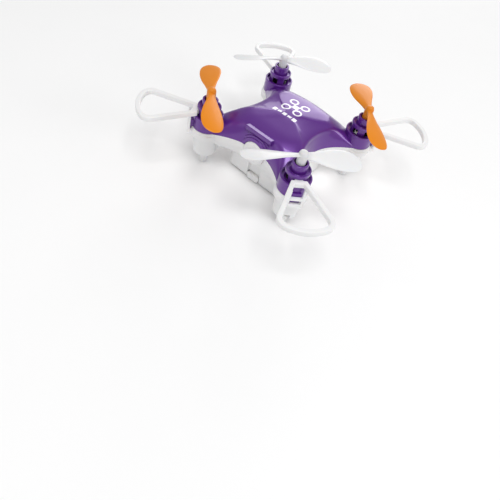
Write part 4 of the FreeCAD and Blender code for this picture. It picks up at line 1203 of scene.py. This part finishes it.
@dataclass
class Trim:
    """Foot caps, nose blank, battery cover, switch knob and shell screws."""

    wardrobe: Wardrobe
    foot_steps: Steps = ((1.27, 3.8), (2.3, 4.45), (2.98, 4.8))
    nose_profile: Steps = ((0, 11.9), (3.5, 11.9), (3.5, 13.35), (2.4, 13.6), (0, 13.65))
    cover_plate: Slab = Slab("cover", (-7.9, -9.5, 0.4), (7.9, 10.2, 1.4), 0.4, 0.12)
    cover_tongues: Slab = Slab("tongues", (-8.6, -9.5, 0.9), (8.6, 10.2, 1.4), 0.2, 0.05)
    tab_corners: Steps = ((-2.1, 0.4), (2.1, 0.4), (2.1, 2.5), (-2.1, 2.5))
    tab_back: float = 9.4
    tab_front: float = 10.7
    grip_front: float = 3.0
    grip_step: float = 0.9
    grip_size: Place = (6.0, 0.4, 0.45)
    grip_bottom: float = 0.15
    ridge_gap: float = 0.12
    ridge_rise: float = 0.2
    ridge_deep: float = 0.5
    screw_profile: Steps = ((0, 9.4), (1.1, 9.4), (1.1, 10.1), (0.6, 10.1), (0.6, 13.9), (0, 14.2))
    cross_sizes: Steps = ((0.62, 0.14), (0.14, 0.62))
    cross_heights: tuple[float, float] = (9.0, 9.75)

    def foot(self, pod: str) -> None:
        """Foot cap plugged into one motor cup, with its thin foot."""
        cap = turned("foot", stepped(0.0, self.foot_steps), 0.12, 72)
        finished(at_pod(cap, pod), "foot_" + pod)
        self.wardrobe.dress(cap, "root", "shell_white", "foot_cap_" + pod)

    def nose(self) -> None:
        """Crowned blank disc in the nose."""
        disc = turned("nose", self.nose_profile, cut=0.4, steps=6)
        self.wardrobe.dress(finished(moved(disc, NOSE_TURN), "nose_disc"), "root", "blank_white",
                            "nose_blank")

    def cover(self) -> None:
        """Sliding battery cover with grip ribs and front tab."""
        plate = self.cover_plate.solid()
        upright = Matrix.Rotation(math.radians(90), 4, "X")
        corners = softened([Vector((*corner, 0)) for corner in self.tab_corners], 0.75, 6, closed=True)
        tab = moved(raised("tab", corners, self.tab_back, self.tab_front, 0.16), upright)
        button = raised("tab_rib", rectangle(0.7, 0.16, 0.12, (0, 1.7)), self.tab_front - 0.1,
                        self.tab_front + 0.1, 0.04)
        joined(plate, Joining.ADD, self.cover_tongues.solid(), tab, moved(button, upright))
        long, wide, tall = self.grip_size
        for number in range(4):
            front = self.grip_front + self.grip_step * number
            rib = Slab("rib", (-long / 2, front, self.grip_bottom),
                       (long / 2, front + wide, self.grip_bottom + tall), 0.18, 0.1)
            joined(plate, Joining.ADD, rib.solid())
        self.wardrobe.dress(finished(plate, "battery_door"), "battery_cover_body", "shell_white",
                            "battery_cover")

    def knob(self) -> None:
        """Switch knob with three grip ridges."""
        low, high = (Vector(corner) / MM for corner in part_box("power_switch_knob"))
        body = Slab("knob", low, (high.x, high.y - self.ridge_rise, high.z), 0.08, 0.08).solid()
        third = (high.x - low.x) / 3
        for number in range(3):
            ridge = Slab("ridge", (low.x + third * number + self.ridge_gap, high.y - self.ridge_deep,
                                   low.z + 0.05),
                         (low.x + third * (number + 1) - self.ridge_gap, high.y, high.z - 0.05), 0.08, 0.06)
            joined(body, Joining.ADD, ridge.solid())
        self.wardrobe.dress(finished(body, "switch_knob"), "switch_knob_body", "knob_black",
                            "power_switch_knob")

    def screw(self) -> bpy.types.Object:
        """Cross-head screw, entered from below."""
        low, high = self.cross_heights
        crosses = [Slab("cross", (-half_x, -half_y, low), (half_x, half_y, high), 0.05, 0.03).solid()
                   for half_x, half_y in self.cross_sizes]
        return joined(turned("screw", self.screw_profile, 0.1, 40), Joining.TAKE, *crosses)

    def build(self) -> None:
        """Build every small part."""
        for pod in PODS:
            self.foot(pod)
        self.nose()
        self.cover()
        self.knob()
        screws = four_corners(SCREW_PLACE, self.screw)
        self.wardrobe.dress(finished(screws, "casing_screws"), "root", "screw_steel", "shell_screws")


# ---------------------------------------------------------------- guards and propellers

@dataclass
class Guard:
    """Wire-like loop round a propeller's outer side, with the plug at its root."""

    wardrobe: Wardrobe
    bottom: float = 16.85
    top: float = 18.35
    root: tuple[float, float] = (3.2, 2.0)
    web: tuple[float, float] = (4.5, 1.25)
    corner_reach: float = 15.7
    corner_offset: float = 3.85
    corner_radius: float = 3.0
    tip: float = 19.66
    bar: float = 1.35
    plug_reach: float = 2.5
    plug_half: float = 1.0
    plug_gap: float = 0.1
    plug_overlap: float = 0.6
    side_steps: int = 12
    corner_steps: int = 16
    bow_steps: int = 12
    edge: float = 0.32

    def half(self, inset: float, root: tuple[float, float]) -> Outline:
        """Edge of the loop from its root to its tip on the +Y side.

        Args:
            inset: How far inside the outer edge.
            root: Where that edge starts.

        Returns:
            Its points.
        """
        corner = self.corner_radius - inset
        tip = self.tip - inset
        gap = tip - corner
        bow_centre = (gap ** 2 - self.corner_reach ** 2 - self.corner_offset ** 2) / (
            2 * (gap - self.corner_reach))
        bow = tip - bow_centre
        lean = math.atan2(self.corner_offset, self.corner_reach - bow_centre)
        away = Vector((self.corner_reach - root[0], self.corner_offset - root[1]))
        side = math.atan2(away.y, away.x) + math.asin(corner / away.length)
        centre = Vector((self.corner_reach, self.corner_offset, 0))
        points = []
        touch = centre + Vector((-math.sin(side), math.cos(side), 0)) * corner
        for step in range(self.side_steps):
            points.append(Vector((*root, 0)).lerp(touch, step / self.side_steps))
        first = side + math.pi / 2
        for step in range(self.corner_steps):
            turn = first + (lean - first) * step / self.corner_steps
            points.append(centre + Vector((math.cos(turn), math.sin(turn), 0)) * corner)
        for step in range(self.bow_steps + 1):
            turn = lean * (1 - step / self.bow_steps)
            points.append(Vector((bow_centre + bow * math.cos(turn), bow * math.sin(turn), 0)))
        return points

    def loop(self, inset: float, root: tuple[float, float]) -> Outline:
        """Whole edge of the loop, from the root's +Y side round the tip and back."""
        half = self.half(inset, root)
        back = [Vector((point.x, -point.y, 0)) for point in reversed(half[:-1])]
        return half + back

    def section(self, outer: Vector, inner: Vector) -> Outline:
        """Rounded section of the bar between its outer and inner edge."""
        corners = [outer + Vector((0, 0, self.bottom)), inner + Vector((0, 0, self.bottom)),
                   inner + Vector((0, 0, self.top)), outer + Vector((0, 0, self.top))]
        return softened(corners, self.edge, 4, closed=True)

    def build(self, pod: str) -> bpy.types.Object:
        """Build and dress one pod's guard."""
        outer = self.loop(0.0, self.root)
        inner = self.loop(self.bar, self.web)
        ring = skinned("loop", [self.section(first, second) for first, second in zip(outer, inner)],
                       looped=True)
        plug = Slab("plug", (self.plug_reach, -self.plug_half, self.bottom + self.plug_gap),
                    (self.root[0] + self.plug_overlap, self.plug_half, self.top - self.plug_gap), 0.1, 0.1)
        joined(ring, Joining.ADD, plug.solid())
        finished(at_pod(ring, pod), "guard_loop_" + pod)
        return self.wardrobe.dress(ring, "guard_body_" + pod, "guard_white", "guard_" + pod)


@dataclass(frozen=True)
class BladeStation:
    """Section of a blade: share of its length, chord, thickness, pitch in degrees and sweep."""

    share: float
    chord: float
    thickness: float
    pitch: float
    sweep: float


@dataclass
class Propeller:
    """Two-bladed propeller with a domed hub."""

    wardrobe: Wardrobe
    hub_profile: Steps = ((0, 21.0), (1.25, 21.0), (1.25, 23.9), (0.95, 24.7), (0, 24.9))
    length: float = 15.2
    blade_height: float = 23.4
    droop: float = 1.1
    camber: float = 0.03
    rest_turns: dict[str, float] = field(default_factory=lambda: {"front_right": 3.0})
    stations: tuple[BladeStation, ...] = (
        BladeStation(0.03, 2.0, 1.10, 26.0, 0.0), BladeStation(0.12, 2.3, 0.95, 25.0, 0.0),
        BladeStation(0.28, 3.5, 0.72, 22.0, 0.05), BladeStation(0.46, 5.1, 0.58, 19.0, 0.15),
        BladeStation(0.66, 6.05, 0.50, 16.0, 0.28), BladeStation(0.82, 5.75, 0.42, 13.5, 0.30),
        BladeStation(0.92, 4.6, 0.36, 12.0, 0.24), BladeStation(0.975, 2.9, 0.32, 11.0, 0.16),
        BladeStation(0.998, 0.9, 0.24, 10.0, 0.1))
    ring_points: int = 20

    def hand(self, pod: str) -> int:
        """Direction of the blades' twist: neighbours turn opposite ways."""
        x_sign, y_sign = PODS[pod]
        return -x_sign * y_sign

    def ring(self, reach: float, chord: float, thickness: float, pitch: float, sweep: float,
             hand: int) -> Outline:
        """Lens-shaped section of the blade, crowned above and flatter below."""
        points = []
        sag = self.droop * (reach / self.length) ** 1.5
        turn = math.radians(pitch) * hand
        for index in range(self.ring_points):
            angle = 2 * math.pi * index / self.ring_points
            along = math.cos(angle) * chord / 2
            rise = math.sin(angle) * thickness / 2
            rise += self.camber * chord * (1 - (2 * along / chord) ** 2)
            y = along * math.cos(turn) - rise * math.sin(turn) + hand * sweep
            z = along * math.sin(turn) + rise * math.cos(turn)
            points.append(Vector((reach, y, self.blade_height - sag + z)))
        return points

    def blade(self, hand: int) -> bpy.types.Object:
        """One blade along +X."""
        spots = [Vector((station.share * self.length, station.chord, station.thickness))
                 for station in self.stations]
        turns = [Vector((station.pitch, station.sweep, 0)) for station in self.stations]
        sizes = curved(spots, spots[0] * 2 - spots[1], 5)
        leans = curved(turns, turns[0] * 2 - turns[1], 5)
        rings = [self.ring(size.x, size.y, size.z, lean.x, lean.y, hand)
                 for size, lean in zip(sizes, leans)]
        return skinned("blade", rings)

    def build(self, pod: str) -> bpy.types.Object:
        """Build and dress one pod's propeller, its blades across the arm."""
        hand = self.hand(pod)
        hub = turned("hub", self.hub_profile, 0.25, 64, 5)
        for turn in (90, 270):
            rest = math.radians(turn + self.rest_turns.get(pod, 0.0))
            joined(hub, Joining.ADD, moved(self.blade(hand), Matrix.Rotation(rest, 4, "Z")))
        finished(at_pod(hub, pod), "rotor_" + pod, 50)
        slot = "propeller_white" if hand > 0 else "propeller_orange"
        return self.wardrobe.dress(hub, "rotor_" + pod, slot, "propeller_" + pod)


# ---------------------------------------------------------------- studio

@dataclass(frozen=True)
class Lamp:
    """Square soft light: where it stands in metres, its side and its power in watts."""

    name: str
    place: Place
    size: float
    power: float

    def hang(self, target: Vector) -> None:
        """Hang the light, pointing at a target."""
        data = bpy.data.lights.new(self.name, "AREA")
        data.shape = "SQUARE"
        data.size = self.size
        data.energy = self.power
        thing = placed(self.name, data)
        thing.location = self.place
        thing.rotation_euler = (target - Vector(self.place)).to_track_quat("-Z", "Y").to_euler()


@dataclass
class Studio:
    """Pale floor, soft lights and the camera."""

    floor_colour: Colour = (0.97, 0.97, 0.97)
    floor_shade: float = 0.98
    sky_strength: float = 0.45
    target: Place = (0, 0, 0.012)
    lamps: tuple[Lamp, ...] = (
        Lamp("rear_box", (-0.20, 0.42, 0.17), 0.26, 0.5), Lamp("side_box", (0.40, 0.10, 0.20), 0.16, 0.35),
        Lamp("top_box", (0.14, -0.16, 0.6), 0.3, 1.9), Lamp("front_box", (-0.22, -0.36, 0.2), 0.25, 0.1))
    camera_place: Place = (0.05286, -0.09481, 0.09229)
    camera_forward: Place = (-0.3683, 0.5795, -0.7271)
    camera_up: Place = (-0.5783, 0.4696, 0.6672)
    lens: float = 33.2
    shift: tuple[float, float] = (0.0152, -0.0804)

    def floor(self) -> None:
        """Wide pale level sheet."""
        shape = bmesh.new()
        bmesh.ops.create_grid(shape, x_segments=8, y_segments=8, size=3.0)
        ground = placed("floor", mesh_of("floor", shape))
        graph = Graph("floor_paper")
        shade = tuple(self.floor_shade * part for part in self.floor_colour)
        graph.feed("Base Color", graph.mix(graph.noise(graph.place(), 30.0), self.floor_colour, shade))
        graph.feed("Roughness", 0.9)
        ground.data.materials.append(graph.material)

    def camera(self) -> None:
        """Camera at the view's angle."""
        data = bpy.data.cameras.new("camera")
        data.lens = self.lens
        data.sensor_width = 36.0
        data.shift_x, data.shift_y = self.shift
        data.clip_start = 0.001
        thing = placed("camera", data)
        back = -Vector(self.camera_forward).normalized()
        right = Vector(self.camera_up).cross(back).normalized()
        turn = Matrix((right, back.cross(right), back)).transposed().to_4x4()
        thing.matrix_world = Matrix.Translation(self.camera_place) @ turn
        bpy.context.scene.camera = thing

    def build(self) -> None:
        """Build the studio."""
        scene = bpy.context.scene
        scene.view_settings.view_transform = "Standard"
        world = bpy.data.worlds.new("studio")
        world.use_nodes = True
        sky = world.node_tree.nodes["Background"]
        sky.inputs["Color"].default_value = (1.0, 1.0, 1.0, 1.0)
        sky.inputs["Strength"].default_value = self.sky_strength
        scene.world = world
        self.floor()
        for lamp in self.lamps:
            lamp.hang(Vector(self.target))
        self.camera()


def main() -> None:
    """Build and dress the aircraft, then the studio."""
    logging.basicConfig(level=logging.INFO, format="%(name)s %(message)s")
    wardrobe = Wardrobe(FINISHES)
    wardrobe.dress_nodes(frame["record"])
    TopShell(wardrobe).build()
    BottomShell(wardrobe).build()
    Trim(wardrobe).build()
    guard = Guard(wardrobe)
    propeller = Propeller(wardrobe)
    for pod in PODS:
        guard.build(pod)
        propeller.build(pod)
    Studio().build()


if __name__ == "__main__":
    main()
